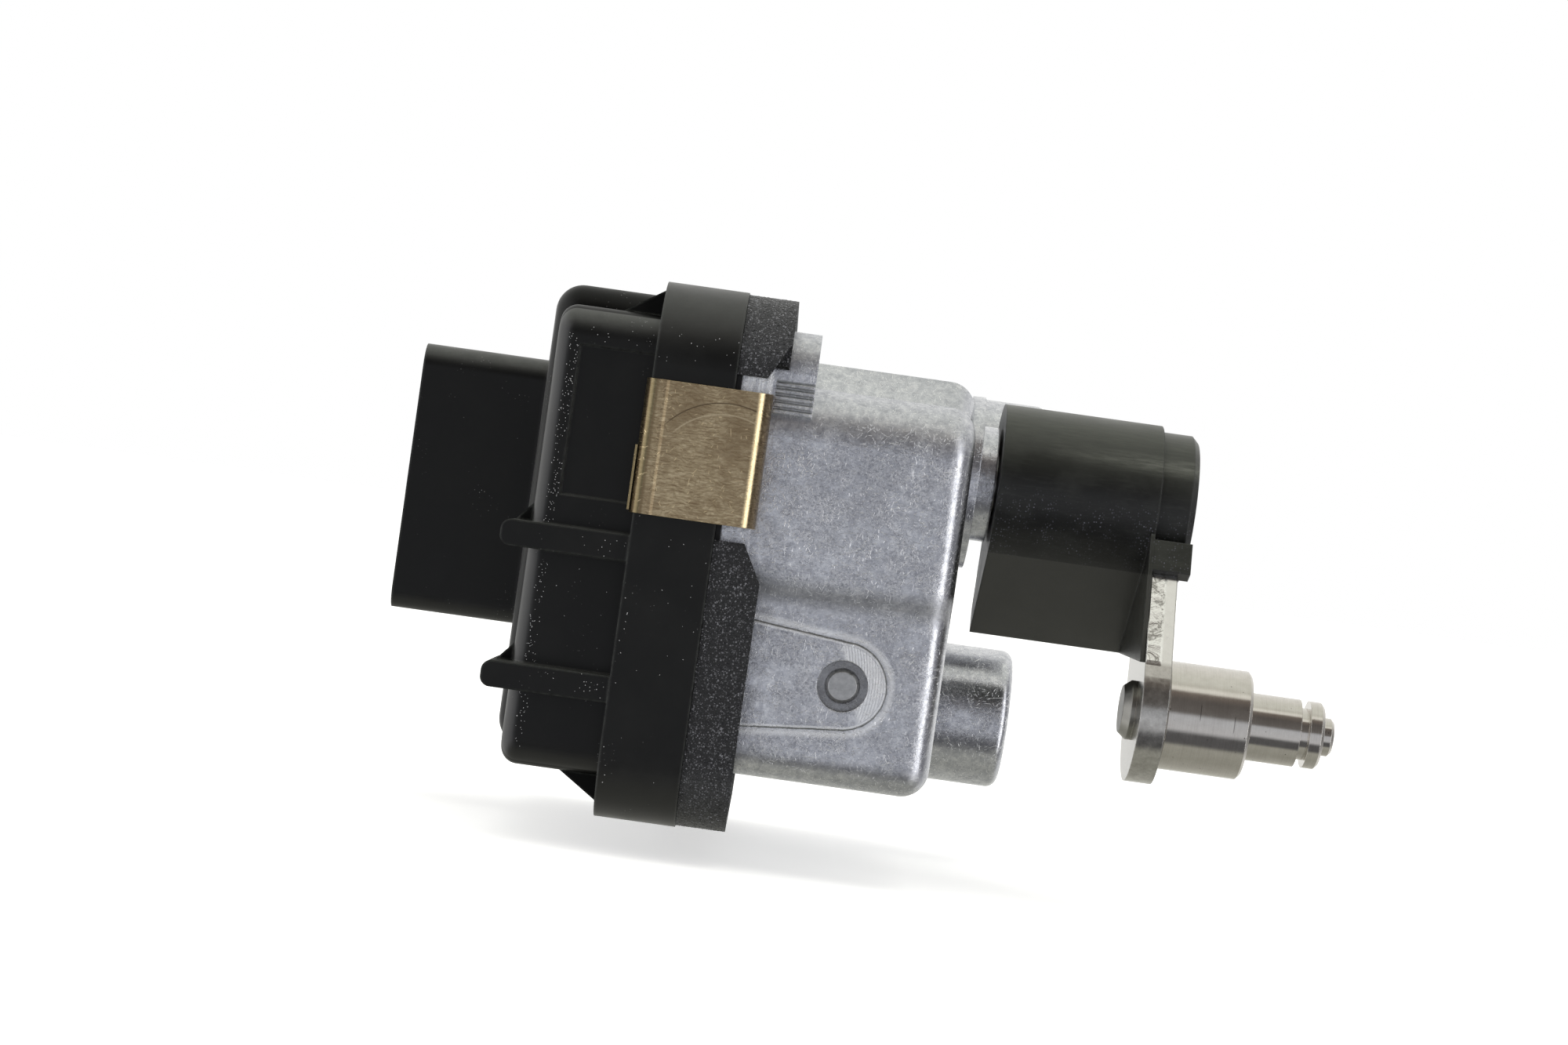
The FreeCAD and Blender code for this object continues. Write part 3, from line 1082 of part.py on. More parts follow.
# Black moulded sleeve round shaft and arm, with a flat-sided lobe and an end collar.
def makeHubSleeve():
    body = onLever("hub_sleeve")
    turn(body, "Sleeve", "X", [
        ("-hubBack", "shaftRadius"), ("-hubBack", "hubRadius"), ("armBack", "hubRadius"),
        ("armBack", "hubCollarRadius"), (f"{collarFrontX} - hubChamfer", "hubCollarRadius"),
        (collarFrontX, "hubCollarRadius - hubChamfer"), (collarFrontX, "shaftRadius")])
    # The lobe's flat leaves the sleeve at the crease and runs on along the sleeve's tangent.
    crease = "((lobeAngle + armAngle) * 1deg)"
    creaseY = f"(-hubRadius * cos{crease})"
    creaseZ = f"(-hubRadius * sin{crease})"
    endY = f"({creaseY} + lobeLength * sin{crease})"
    endZ = f"({creaseZ} - lobeLength * cos{crease})"
    padUp(body, "Lobe", "X", "-hubBack", "armBack - armSlotPlay", drawOutline, [
        (creaseY, creaseZ), (endY, endZ),
        (f"{endY} + lobeBack * cos{crease}", f"{endZ} + lobeBack * sin{crease}"),
        (f"hubRadius * sin{crease}", f"-hubRadius * cos{crease}"),
        (f"shaftRadius * sin{crease}", f"-hubRadius * cos{crease}"),
        (f"-shaftRadius * cos{crease}", f"-(hubRadius + shaftRadius) / 2 * sin{crease}")])
    # Its end wall covers the back of the arm as far as the arm's near edge.
    padUp(body, "LobeWall", "X", "armBack - lobeWall", "armBack - armSlotPlay", drawOutline, [
        (creaseY, creaseZ), (endY, endZ), ("-cheekHalf", "-lobeWallEnd"), ("-cheekHalf", "-cheekTop")])
    # A cheek stands out from the collar over the near side of the arm's root.
    padUp(body, "Cheek", "X", "armBack", collarFrontX, drawOutline, [
        ("-cheekFoot", "-cheekTop"), ("-cheekHalf", "-(cheekTop + hubChamfer)"),
        ("-cheekHalf", "-cheekReach"), ("-cheekFoot", "-cheekReach"),
        ("-cheekFoot / 2", "-(hubCollarRadius - hubChamfer)")])
    cutOut(body, "ArmSlot", "X", "armBack - armSlotPlay", f"{armFrontX} + armSlotPlay",
           drawArm, "armSlotPlay")
    return body


def makeLeverPin():
    body = onLever("lever_pin")
    bind(body, "Placement.Base.y", pinY)
    bind(body, "Placement.Base.z", pinZ)
    shoulder = f"({armFrontX} + shoulderLength)"
    journal = f"({shoulder} + journalLength)"
    groove = f"({journal} + grooveLength)"
    head = f"({groove} + headLength)"
    tip = f"({head} + tipLength)"
    turn(body, "Pin", "X", [
        ("armBack - rivetLength", "0"), ("armBack - rivetLength", "rivetRadius - rivetDraw"),
        ("armBack - rivetSkirt", "rivetRadius"), ("armBack", "rivetRadius"),
        ("armBack", "pinShank"), (armFrontX, "pinShank"), (armFrontX, "shoulderRadius - pinChamfer"),
        (f"{armFrontX} + pinChamfer", "shoulderRadius"), (f"{shoulder} - pinChamfer", "shoulderRadius"),
        (shoulder, "shoulderRadius - pinChamfer"), (shoulder, "journalRadius"),
        (journal, "journalRadius"), (journal, "grooveRadius"), (groove, "grooveRadius"),
        (groove, "headRadius"), (f"{head} - pinChamfer", "headRadius"),
        (head, "headRadius - pinChamfer"), (head, "tipRadius"),
        (f"{tip} - pinChamfer", "tipRadius"), (tip, "tipRadius - pinChamfer"), (tip, "0")])
    return body


makeRearCover()
makeConnectorPins()
makeCoverGasket()
makeGearHousing()
for clip in CLIPS:
    makeClip(*clip)
makeMotorCan()
makeMotorEndCap()
makeMotorMagnets()
makeMotorRotor()
makeMotorShaft()
makeMotorTerminals()
makeMotorScrews()
makeMotorContacts()
makeWorm()
makeWormBush()
makeThrustPin()
makeWormSector()
makeOutputShaft()
makeShaftBush("shaft_bush_inner", innerBossX)
makeShaftBush("shaft_bush_outer", f"({towerX} - sealLength - bushLength)")
makeShaftSeal()
makeShaftWasher()
makeSensorRotor()
makeCircuitBoard()
makeBoardScrews()
makeBoardComponents()
makeLeverArm()
makeHubSleeve()
makeLeverPin()
doc.recompute()


# Every feature has to be sound, and every cut has to take something away.
def checkFeatures():
    for item in doc.Objects:
        if "Invalid" in item.State or "Error" in item.State:
            raise RuntimeError(f"{item.Name} failed: {item.State}")
        if item.TypeId in ("PartDesign::Pocket", "PartDesign::Groove"):
            if item.Shape.Volume > item.BaseFeature.Shape.Volume - samePlace:
                raise RuntimeError(f"{item.Name} cuts nothing")


checkFeatures()
subParts = [item for item in doc.Objects if item.TypeId in ("PartDesign::Body", "Part::Feature")]
for item in subParts:
    if item.Shape.isNull() or not item.Shape.isValid():
        raise RuntimeError(f"{item.Label} is not a sound solid")
    item.Shape.exportStep(f"parts/{item.Label}.step")
    print(f"{item.Label}: {len(item.Shape.Solids)} solid, {item.Shape.Volume:.0f} cubic mm")
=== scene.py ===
import math
import bmesh
import bpy
from mathutils import Matrix, Vector


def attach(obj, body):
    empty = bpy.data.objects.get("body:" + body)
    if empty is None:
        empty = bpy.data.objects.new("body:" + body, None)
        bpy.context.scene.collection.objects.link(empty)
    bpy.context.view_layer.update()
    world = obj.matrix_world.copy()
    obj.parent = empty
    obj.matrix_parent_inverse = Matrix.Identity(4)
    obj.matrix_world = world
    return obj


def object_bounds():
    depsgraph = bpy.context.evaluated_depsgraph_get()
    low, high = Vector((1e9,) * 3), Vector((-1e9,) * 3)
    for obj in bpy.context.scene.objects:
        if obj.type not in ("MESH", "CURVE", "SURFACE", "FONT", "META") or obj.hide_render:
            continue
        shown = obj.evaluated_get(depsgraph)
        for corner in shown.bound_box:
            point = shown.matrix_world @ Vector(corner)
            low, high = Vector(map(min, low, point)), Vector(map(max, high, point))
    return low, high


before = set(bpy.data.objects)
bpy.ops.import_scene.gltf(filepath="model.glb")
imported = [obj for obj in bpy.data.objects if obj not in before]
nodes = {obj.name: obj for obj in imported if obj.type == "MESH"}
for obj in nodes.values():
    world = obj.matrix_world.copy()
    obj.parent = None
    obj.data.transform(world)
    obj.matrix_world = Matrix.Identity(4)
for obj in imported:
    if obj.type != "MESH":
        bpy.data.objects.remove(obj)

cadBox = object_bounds()
mm = 0.001
print("stage: frame loaded,", len(nodes), "nodes")


# Small helpers for node trees
def newMaterial(name):
    material = bpy.data.materials.new(name)
    material.use_nodes = True
    tree = material.node_tree
    tree.nodes.clear()
    output = tree.nodes.new("ShaderNodeOutputMaterial")
    shader = tree.nodes.new("ShaderNodeBsdfPrincipled")
    tree.links.new(shader.outputs["BSDF"], output.inputs["Surface"])
    return material, tree, shader


def addNode(tree, kind, **values):
    node = tree.nodes.new(kind)
    for key, value in values.items():
        node.inputs[key].default_value = value
    return node


def link(tree, source, target):
    tree.links.new(source, target)


def objectPlace(tree, scale=(1, 1, 1), turn=(0, 0, 0)):   # object coordinates in millimetres
    coords = tree.nodes.new("ShaderNodeTexCoord")
    mapping = tree.nodes.new("ShaderNodeMapping")
    mapping.inputs["Scale"].default_value = [1000 * part for part in scale]
    mapping.inputs["Rotation"].default_value = turn
    link(tree, coords.outputs["Object"], mapping.inputs["Vector"])
    return mapping.outputs["Vector"]


def noise(tree, place, scale, detail=4.0, rough=0.55, distort=0.0):
    node = addNode(tree, "ShaderNodeTexNoise", Scale=scale, Detail=detail, Roughness=rough,
                   Distortion=distort)
    link(tree, place, node.inputs["Vector"])
    return node.outputs["Fac"]


def cells(tree, place, scale):                   # distance to the cell's middle, and its own chances
    node = addNode(tree, "ShaderNodeTexVoronoi", Scale=scale)
    link(tree, place, node.inputs["Vector"])
    return node.outputs["Distance"], axisOf(tree, node.outputs["Color"]), node.outputs["Position"]


def ramp(tree, source, stops):                   # stops: (place, colour)
    node = tree.nodes.new("ShaderNodeValToRGB")
    band = node.color_ramp
    while len(band.elements) < len(stops):
        band.elements.new(0.5)
    for element, (place, tone) in zip(band.elements, stops):
        element.position = place
        element.color = (*tone, 1)
    link(tree, source, node.inputs["Fac"])
    return node.outputs["Color"]


def spread(tree, source, low, high, toLow=0.0, toHigh=1.0):
    node = addNode(tree, "ShaderNodeMapRange")
    node.inputs["From Min"].default_value = low
    node.inputs["From Max"].default_value = high
    node.inputs["To Min"].default_value = toLow
    node.inputs["To Max"].default_value = toHigh
    link(tree, source, node.inputs["Value"])
    return node.outputs["Result"]


def calc(tree, operation, first, second=None):
    node = tree.nodes.new("ShaderNodeMath")
    node.operation = operation
    for index, value in enumerate((first, second)):
        if value is None:
            continue
        if isinstance(value, (int, float)):
            node.inputs[index].default_value = value
        else:
            link(tree, value, node.inputs[index])
    return node.outputs[0]


def chain(tree, operation, values):
    result = values[0]
    for value in values[1:]:
        result = calc(tree, operation, result, value)
    return result


def product(tree, *values):
    return chain(tree, "MULTIPLY", values)


def total(tree, *values):
    return chain(tree, "ADD", values)


def most(tree, *values):
    return chain(tree, "MAXIMUM", values)


def rest(tree, value):                           # what is left of one
    return calc(tree, "SUBTRACT", 1.0, value)


def mixTone(tree, factor, first, second):
    node = tree.nodes.new("ShaderNodeMix")
    node.data_type = "RGBA"
    link(tree, factor, node.inputs[0])
    for socket, value in ((node.inputs[6], first), (node.inputs[7], second)):
        if isinstance(value, tuple):
            socket.default_value = (*value, 1)
        else:
            link(tree, value, socket)
    return node.outputs[2]


def softEdges(tree, radius):                     # rounded look of the edges, radius in mm
    node = tree.nodes.new("ShaderNodeBevel")
    node.samples = 5
    node.inputs["Radius"].default_value = radius * mm
    return node


def edgeMask(tree, edges, low=0.01, high=0.12):  # one on an edge, nought on a flat face
    geometry = tree.nodes.new("ShaderNodeNewGeometry")
    dot = tree.nodes.new("ShaderNodeVectorMath")
    dot.operation = "DOT_PRODUCT"
    link(tree, edges.outputs["Normal"], dot.inputs[0])
    link(tree, geometry.outputs["Normal"], dot.inputs[1])
    return spread(tree, rest(tree, dot.outputs["Value"]), low, high)


def bump(tree, height, shader, strength, distance, after=None):
    node = addNode(tree, "ShaderNodeBump", Strength=strength, Distance=distance)
    link(tree, height, node.inputs["Height"])
    if after is not None:
        link(tree, after.outputs["Normal"], node.inputs["Normal"])
    link(tree, node.outputs["Normal"], shader.inputs["Normal"])
    return node


def axisOf(tree, place):
    node = tree.nodes.new("ShaderNodeSeparateXYZ")
    link(tree, place, node.inputs[0])
    return node.outputs


def facing(tree):                                # the face's own direction, in the object's axes
    coords = tree.nodes.new("ShaderNodeTexCoord")
    return axisOf(tree, coords.outputs["Normal"])


def inside(tree, value, low, high, soft=0.1):    # one between low and high
    rise = spread(tree, value, low - soft, low + soft)
    fall = spread(tree, value, high - soft, high + soft, 1.0, 0.0)
    return product(tree, rise, fall)


def around(tree, x, z, centre):                  # offsets and distance from a point in the XZ plane
    fromX = calc(tree, "SUBTRACT", x, centre[0])
    fromZ = calc(tree, "SUBTRACT", z, centre[1])
    away = calc(tree, "SQRT", total(tree, product(tree, fromX, fromX), product(tree, fromZ, fromZ)))
    return fromX, fromZ, away


# Short straight strokes, one to a cell, each turned its own way about Y
def strokes(tree, place, scale, length, width, share):
    distance, chance, middle = cells(tree, place, scale)
    local = tree.nodes.new("ShaderNodeVectorMath")
    local.operation = "SUBTRACT"
    link(tree, place, local.inputs[0])
    link(tree, middle, local.inputs[1])
    turned = tree.nodes.new("ShaderNodeVectorRotate")
    turned.rotation_type = "Y_AXIS"
    link(tree, local.outputs[0], turned.inputs["Vector"])
    link(tree, product(tree, chance[0], 2 * math.pi), turned.inputs["Angle"])
    x, y, z = axisOf(tree, turned.outputs[0])
    line = spread(tree, calc(tree, "ABSOLUTE", z), width, width * 0.3)
    reach = spread(tree, calc(tree, "ABSOLUTE", x), length, length * 0.6)
    return product(tree, line, reach, spread(tree, chance[1], 1 - share, 1 - share + 0.1))


def coat(tree, shader, tone, rough, metal=0.0):
    link(tree, tone, shader.inputs["Base Color"])
    link(tree, rough, shader.inputs["Roughness"])
    shader.inputs["Metallic"].default_value = metal


# Black moulded plastic of the cover, smooth in front of the seam and spark-eroded on the skirt
coverLook = {
    "tone": (0.0040, 0.0041, 0.0036),
    "wornTone": (0.0100, 0.0102, 0.0094),
    # Painted highlight on the edges
    "edgeHighlightTone": (0.075, 0.080, 0.072),
    "dustTone": (0.34, 0.34, 0.33),
    "topSheenTone": (0.066, 0.069, 0.062),           # painted sheen on what faces up
    "rim": (-54.9, -44.3),                       # painted sheen weaker here: x from and to, mm
    "farBox": (-69.4, -55.0, -21.7),             # matt part: x from and to, farther than this y, mm
    "roughness": (0.33, 0.46),
    "skirtRoughness": 0.12,                      # added on the skirt
    "specular": (0.30, 0.66),                    # of flat faces towards the viewer, and of all others
    "skirtStart": -44.3,                         # x of the rough skirt, mm
    "skirtFade": (-0.8, -0.2),                   # upward share of the normal where it is smoothest, and rough
    "skirtTone": (0.030, 0.0305, 0.0325),
    # Painted glints on the skirt
    "glintTone": (0.30, 0.30, 0.32),
    "glints": [(3.2, 0.62), (5.0, 0.66)],        # cells per mm, and the share of them that stays dark
    "edgeRadius": 0.50,                          # mm
}


def makeCoverPlastic():
    look = coverLook
    material, tree, shader = newMaterial("coverPlastic")
    place = objectPlace(tree)
    x, y, z = axisOf(tree, place)
    edges = softEdges(tree, look["edgeRadius"])
    upward = axisOf(tree, edges.outputs["Normal"])[2]
    skirt = product(tree, spread(tree, x, look["skirtStart"], look["skirtStart"] + 0.1),
                    spread(tree, upward, *look["skirtFade"], 0.45, 1.0))
    clouds = noise(tree, place, 0.13, 5)
    tone = mixTone(tree, spread(tree, clouds, 0.45, 0.75), look["tone"], look["wornTone"])
    smudges = noise(tree, place, 2.4, 5, 0.7)
    tone = mixTone(tree, spread(tree, smudges, 0.55, 0.8, 0.0, 0.5), tone, look["wornTone"])
    # Painted highlight: the edges are painted lighter, broken up by noise
    paintedShine = product(tree, edgeMask(tree, edges),
                     spread(tree, noise(tree, place, 0.9, 4), 0.35, 0.6, 0.25, 1.0))
    tone = mixTone(tree, product(tree, paintedShine, 0.75), tone, look["edgeHighlightTone"])
    low, high, near = look["farBox"]
    farBox = product(tree, inside(tree, x, low, high), spread(tree, y, near, near + 0.2))
    rim = inside(tree, x, *look["rim"], 0.05)
    # Painted sheen on the faces that point up, weaker on the rim and none on the far box
    topSheen = product(tree, spread(tree, upward, 0.15, 0.75),
                   spread(tree, noise(tree, place, 0.5, 6, 0.7), 0.3, 0.7, 0.6, 1.0),
                   rest(tree, farBox), rest(tree, product(tree, rim, 0.6)))
    tone = mixTone(tree, topSheen, tone, look["topSheenTone"])
    # Skirt: painted glints on a dark pitted ground
    tone = mixTone(tree, skirt, tone, look["skirtTone"])
    glints = []
    for scale, share in look["glints"]:
        distance, chance, middle = cells(tree, place, scale)
        glints.append(product(tree, spread(tree, chance[0], share, 1.0), spread(tree, distance, 0.5, 0.2)))
    tone = mixTone(tree, product(tree, most(tree, *glints), skirt), tone, look["glintTone"])
    # Lint and dust, in patches
    distance, chance, middle = cells(tree, place, 1.9)
    patch = spread(tree, noise(tree, place, 0.2, 3), 0.56, 0.70)
    tone = mixTone(tree, product(tree, spread(tree, distance, 0.15, 0.06), patch), tone, look["dustTone"])
    rough = total(tree, spread(tree, clouds, 0.3, 0.7, *look["roughness"]),
                  product(tree, skirt, look["skirtRoughness"]))
    coat(tree, shader, tone, rough)
    gloss = spread(tree, facing(tree)[1], -0.995, -0.93, *look["specular"])
    gloss = product(tree, gloss, rest(tree, product(tree, farBox, 0.75)))
    link(tree, gloss, shader.inputs["Specular IOR Level"])
    fine = bump(tree, noise(tree, place, 5.0, 6, 0.6), shader, 0.15, 0.00004, edges)
    pits, chance, middle = cells(tree, place, 3.6)
    height = product(tree, total(tree, pits, noise(tree, place, 6.0, 2)), skirt)
    bump(tree, height, shader, 1.0, 0.00016, fine)
    return material


# Die-cast aluminium: mottled skin, short scratches, milled crescent beside the thrust pin
castLook = {
    "darkTone": (0.45, 0.46, 0.50),
    "tone": (0.66, 0.67, 0.71),
    "brightTone": (0.90, 0.905, 0.93),
    # Scratches and flecks, and the painted highlights beside the pad's outline
    "scratchAndHighlightTone": (1.0, 1.0, 1.0),
    "stainTone": (0.26, 0.275, 0.32),
    # Painted shade on the pad's outline and between the ear ridges
    "lineTone": (0.14, 0.145, 0.125),
    "boreShadeTone": (0.21, 0.21, 0.215),
    "roughness": (0.18, 0.30),
    "leanRoughness": 0.18,                       # added on fillets that lean up or down
    "leanFrom": (-41.0, -18.0),                  # but only above this z and nearer than this y, mm
    "edgeRadius": 0.30,                          # mm
    "boxFace": -23.5,                            # y of the near box's flat face, mm
    "pinPlace": (-25.5, -28.6),                  # x and z of the thrust pin, mm
    "boreRadius": 3.3,                           # of the counterbore round the pin, mm
    "boreDepth": (-19.0, -21.0),                 # y where the painted shade on its wall ends and is full, mm
    "milled": (3.2, 5.2),                        # radii of the milled crescent, mm
    "padRadius": 5.6,                            # round end of the raised pad, mm
    "padFlare": 0.097,                           # how the pad widens towards the flange
    "padStart": (-44.0, -43.0),                  # x where its outline starts and is full, mm
    "trimmed": (-43.7, -39.6, 6.6, 9.8, -24.0),  # face over the clip: x, z from and to, nearer than y, mm
    "ear": (-39.2, -34.2, 4.6, 9.4, -22.0),      # painted shade between the ridges: x, z from and to, nearer than y, mm
    "earPitch": 7.2,                             # radians per mm
}


def makeCastAluminium():
    look = castLook
    material, tree, shader = newMaterial("castAluminium")
    place = objectPlace(tree)
    x, y, z = axisOf(tree, place)
    faceX, faceY, faceZ = facing(tree)
    edges = softEdges(tree, look["edgeRadius"])
    mottle = noise(tree, place, 0.9, 9, 0.82, 0.4)
    tone = ramp(tree, mottle, [(0.36, look["darkTone"]), (0.5, look["tone"]), (0.64, look["brightTone"])])
    clouds = spread(tree, noise(tree, place, 0.11, 4), 0.35, 0.65, 0.0, 0.35)
    tone = mixTone(tree, clouds, tone, look["darkTone"])
    patchy = product(tree, spread(tree, noise(tree, place, 0.28, 5, 0.6), 0.38, 0.62, 0.25, 1.0),
                     spread(tree, faceY, -0.90, -0.99, 0.22, 1.0))
    dark = product(tree, spread(tree, noise(tree, place, 3.1, 3, 0.7), 0.50, 0.36), patchy)
    light = product(tree, spread(tree, noise(tree, place, 2.5, 4, 0.75, 0.6), 0.55, 0.72), patchy)
    tone = mixTone(tree, product(tree, dark, 0.75), tone, look["stainTone"])
    tone = mixTone(tree, light, tone, look["scratchAndHighlightTone"])
    marks = most(tree, strokes(tree, place, 0.75, 0.55, 0.035, 0.6),
                 strokes(tree, place, 1.7, 0.26, 0.04, 0.6),
                 strokes(tree, objectPlace(tree, (1, 1, 1), (0, 0.4, 0)), 0.33, 1.3, 0.025, 0.35))
    marks = product(tree, marks, spread(tree, noise(tree, place, 0.35, 4, 0.65), 0.42, 0.6, 0.15, 1.0))
    distance, chance, middle = cells(tree, place, 2.6)
    fleck = product(tree, spread(tree, distance, 0.26, 0.08), spread(tree, chance[2], 0.5, 0.7))
    tone = mixTone(tree, most(tree, marks, fleck), tone, look["scratchAndHighlightTone"])
    # Arcs that the cutter left round the pin
    fromX, fromZ, away = around(tree, x, z, look["pinPlace"])
    face = look["boxFace"]
    cut = product(tree, inside(tree, away, *look["milled"], 0.05),
                  spread(tree, total(tree, fromX, product(tree, fromZ, 0.35)), 0.6, 1.4),
                  spread(tree, y, face + 0.3, face + 0.1))
    arcs = calc(tree, "SINE", product(tree, total(tree, fromX, product(tree, fromZ, fromZ, 0.03)), 17.0))
    tone = mixTone(tree, product(tree, cut, 0.95), tone, look["scratchAndHighlightTone"])
    tone = mixTone(tree, product(tree, cut, spread(tree, arcs, 0.2, 1.0, 0.0, 0.45)), tone, look["darkTone"])
    # Painted shade on the wall of the counterbore
    radius = look["boreRadius"]
    bore = product(tree, spread(tree, away, radius + 0.05, radius - 0.05), spread(tree, y, face, face + 0.2),
                   spread(tree, y, *look["boreDepth"]))
    tone = mixTone(tree, product(tree, bore, 0.75), tone, look["boreShadeTone"])
    # Face over the clip, combed bright by the trimming tool
    left, right, low, high, near = look["trimmed"]
    trimmed = product(tree, inside(tree, x, left, right, 0.05), inside(tree, z, low, high, 0.05),
                      spread(tree, y, near, near - 0.2))
    combed = noise(tree, objectPlace(tree, (1.0, 1.0, 0.12)), 3.0, 3)
    tone = mixTone(tree, product(tree, trimmed, spread(tree, combed, 0.42, 0.60, 0.35, 1.0)),
                   tone, look["scratchAndHighlightTone"])
    # Painted shade line along the outline of the raised pad, with painted highlights on both sides of it:
    # round in front of the pin, widening behind it
    ahead = spread(tree, fromX, -0.01, 0.01)
    straight = calc(tree, "SUBTRACT", calc(tree, "ABSOLUTE", fromZ), product(tree, fromX, -look["padFlare"]))
    reach = total(tree, product(tree, away, ahead), product(tree, straight, rest(tree, ahead)),
                  spread(tree, noise(tree, place, 0.8, 3), 0.3, 0.7, -0.05, 0.05))
    front = product(tree, spread(tree, y, face + 0.7, face + 0.5), spread(tree, x, *look["padStart"]))
    radius = look["padRadius"]
    outline = product(tree, inside(tree, reach, radius - 0.02, radius + 0.13, 0.05), front)
    shine = product(tree, most(tree, inside(tree, reach, radius - 0.35, radius - 0.08, 0.08),
                               inside(tree, reach, radius + 0.3, radius + 1.0, 0.3)), front)
    tone = mixTone(tree, product(tree, shine, 0.85), tone, look["scratchAndHighlightTone"])
    tone = mixTone(tree, product(tree, outline, 0.8), tone, look["lineTone"])
    # Painted shade between the ridges on the foot of the ear boss
    left, right, low, high, near = look["ear"]
    ridged = product(tree, inside(tree, x, left, right, 0.05), inside(tree, z, low, high),
                     spread(tree, y, near, near - 0.2))
    ridges = calc(tree, "SINE", total(tree, product(tree, z, look["earPitch"]), noise(tree, place, 0.4, 3)))
    ridgeShade = product(tree, ridged, spread(tree, ridges, -0.1, 1.0, 0.0, 0.7))
    tone = mixTone(tree, ridgeShade, tone, look["lineTone"])
    low, near = look["leanFrom"]
    lean = spread(tree, calc(tree, "ABSOLUTE", faceZ), 0.02, 0.25, 0.0, look["leanRoughness"])
    leaning = product(tree, lean, spread(tree, z, low, low + 3), spread(tree, y, near, near - 1))
    rough = spread(tree, noise(tree, place, 1.7, 6, 0.7), 0.3, 0.7, *look["roughness"])
    coat(tree, shader, tone, total(tree, rough, leaning), 1.0)
    grain = product(tree, noise(tree, place, 2.2, 8, 0.75), patchy)
    skin = bump(tree, grain, shader, 0.7, 0.00014, edges)
    skin = bump(tree, marks, shader, 0.5, 0.00006, skin)
    bump(tree, product(tree, cut, arcs), shader, 0.4, 0.00003, skin)
    return material


# Rolled spring bronze: brushed, a painted highlight on the front fold, painted shade on the back and past the
# fold, one long curved scratch
bronzeLook = {
    "darkTone": (0.25, 0.175, 0.10),
    "tone": (0.49, 0.385, 0.235),
    "brightTone": (0.82, 0.69, 0.46),
    "foldHighlightAndScratchTone": (1.0, 0.80, 0.48),
    "lineTone": (0.12, 0.085, 0.05),
    "backShadeTone": (0.17, 0.14, 0.075),
    "roughness": (0.22, 0.38),
    "arc": (-44.5, -5.3, 10.3),                  # x, z and radius of the curved scratch, mm
    "bendStarts": (-54.0, -41.7),                # x where the back and the front bend start, mm
    "bendRadius": 1.7,                           # mm
    "backStart": (-53.7, -54.3),                 # x where the painted shade on the back starts and is full, mm
    "frontStart": (-40.3, -40.1),                # x where the painted shade past the front fold starts and is full, mm
    "foldLine": (-41.1, -40.4),                  # painted highlight line before the front fold: x from and to, mm
    "bands": [(-55.2, -54.9), (-54.2, -53.9)],   # painted shade bands at the back fold, mm
    "brightEdges": (-54.0, -53.5),               # x where the painted highlight on the edges starts and is full, mm
    "edgeRadius": 0.12,                          # mm
}


def makeSpringBronze():
    look = bronzeLook
    material, tree, shader = newMaterial("springBronze")
    place = objectPlace(tree)
    x, y, z = axisOf(tree, place)
    edges = softEdges(tree, look["edgeRadius"])
    brushed = noise(tree, objectPlace(tree, (0.45, 1.0, 2.6), (0, 0.2, 0)), 1.7, 8, 0.72, 0.6)
    clouds = noise(tree, place, 0.20, 4, 0.6)
    tone = ramp(tree, brushed, [(0.34, look["darkTone"]), (0.5, look["tone"]), (0.69, look["brightTone"])])
    tone = mixTone(tree, spread(tree, clouds, 0.42, 0.66, 0.0, 0.6), tone, look["darkTone"])
    wander = product(tree, noise(tree, place, 0.35, 3), 5.0)
    ripples = calc(tree, "SINE", product(tree, total(tree, z, wander), 9.0))
    tone = mixTone(tree, spread(tree, ripples, 0.2, 1.0, 0.0, 0.38), tone, look["darkTone"])
    centreX, centreZ, radius = look["arc"]
    fromX, fromZ, away = around(tree, x, z, (centreX, centreZ))
    arc = product(tree, inside(tree, away, radius - 0.06, radius + 0.06, 0.05), spread(tree, fromZ, 6.0, 7.5))
    tone = mixTone(tree, arc, tone, look["lineTone"])
    paler = product(tree, inside(tree, away, radius - 1.5, radius - 1.36, 0.08),
                    spread(tree, fromZ, 5.0, 6.5))
    tone = mixTone(tree, product(tree, paler, 0.6), tone, look["brightTone"])
    # Painted shade on the back, in bands at the back fold and past the front fold
    tone = mixTone(tree, product(tree, spread(tree, x, *look["backStart"]), 0.8), tone, look["backShadeTone"])
    for low, high in look["bands"]:
        tone = mixTone(tree, product(tree, inside(tree, x, low, high), 0.6), tone, look["darkTone"])
    tone = mixTone(tree, spread(tree, x, *look["frontStart"], 0.0, 0.6), tone, look["darkTone"])
    # Scratches, with painted highlights on the front fold line and on the edges of the back
    marks = most(tree, strokes(tree, place, 0.8, 0.6, 0.065, 0.12),
                 strokes(tree, place, 1.6, 0.25, 0.055, 0.18))
    bright = most(tree, product(tree, marks, 0.7), inside(tree, x, *look["foldLine"], 0.15),
                  product(tree, edgeMask(tree, edges), spread(tree, x, *look["brightEdges"], 0.0, 0.5)))
    tone = mixTone(tree, bright, tone, look["foldHighlightAndScratchTone"])
    coat(tree, shader, tone, spread(tree, brushed, 0.3, 0.7, *look["roughness"]), 1.0)
    front = most(tree, calc(tree, "SUBTRACT", x, look["bendStarts"][1]), 0.0)
    back = most(tree, calc(tree, "SUBTRACT", look["bendStarts"][0], x), 0.0)
    bends = total(tree, product(tree, front, front), product(tree, back, back))
    skin = bump(tree, product(tree, bends, -0.5 / look["bendRadius"]), shader, 1.0, 0.001, edges)
    skin = bump(tree, brushed, shader, 0.3, 0.00003, skin)
    bump(tree, ripples, shader, 0.12, 0.00002, skin)
    return material


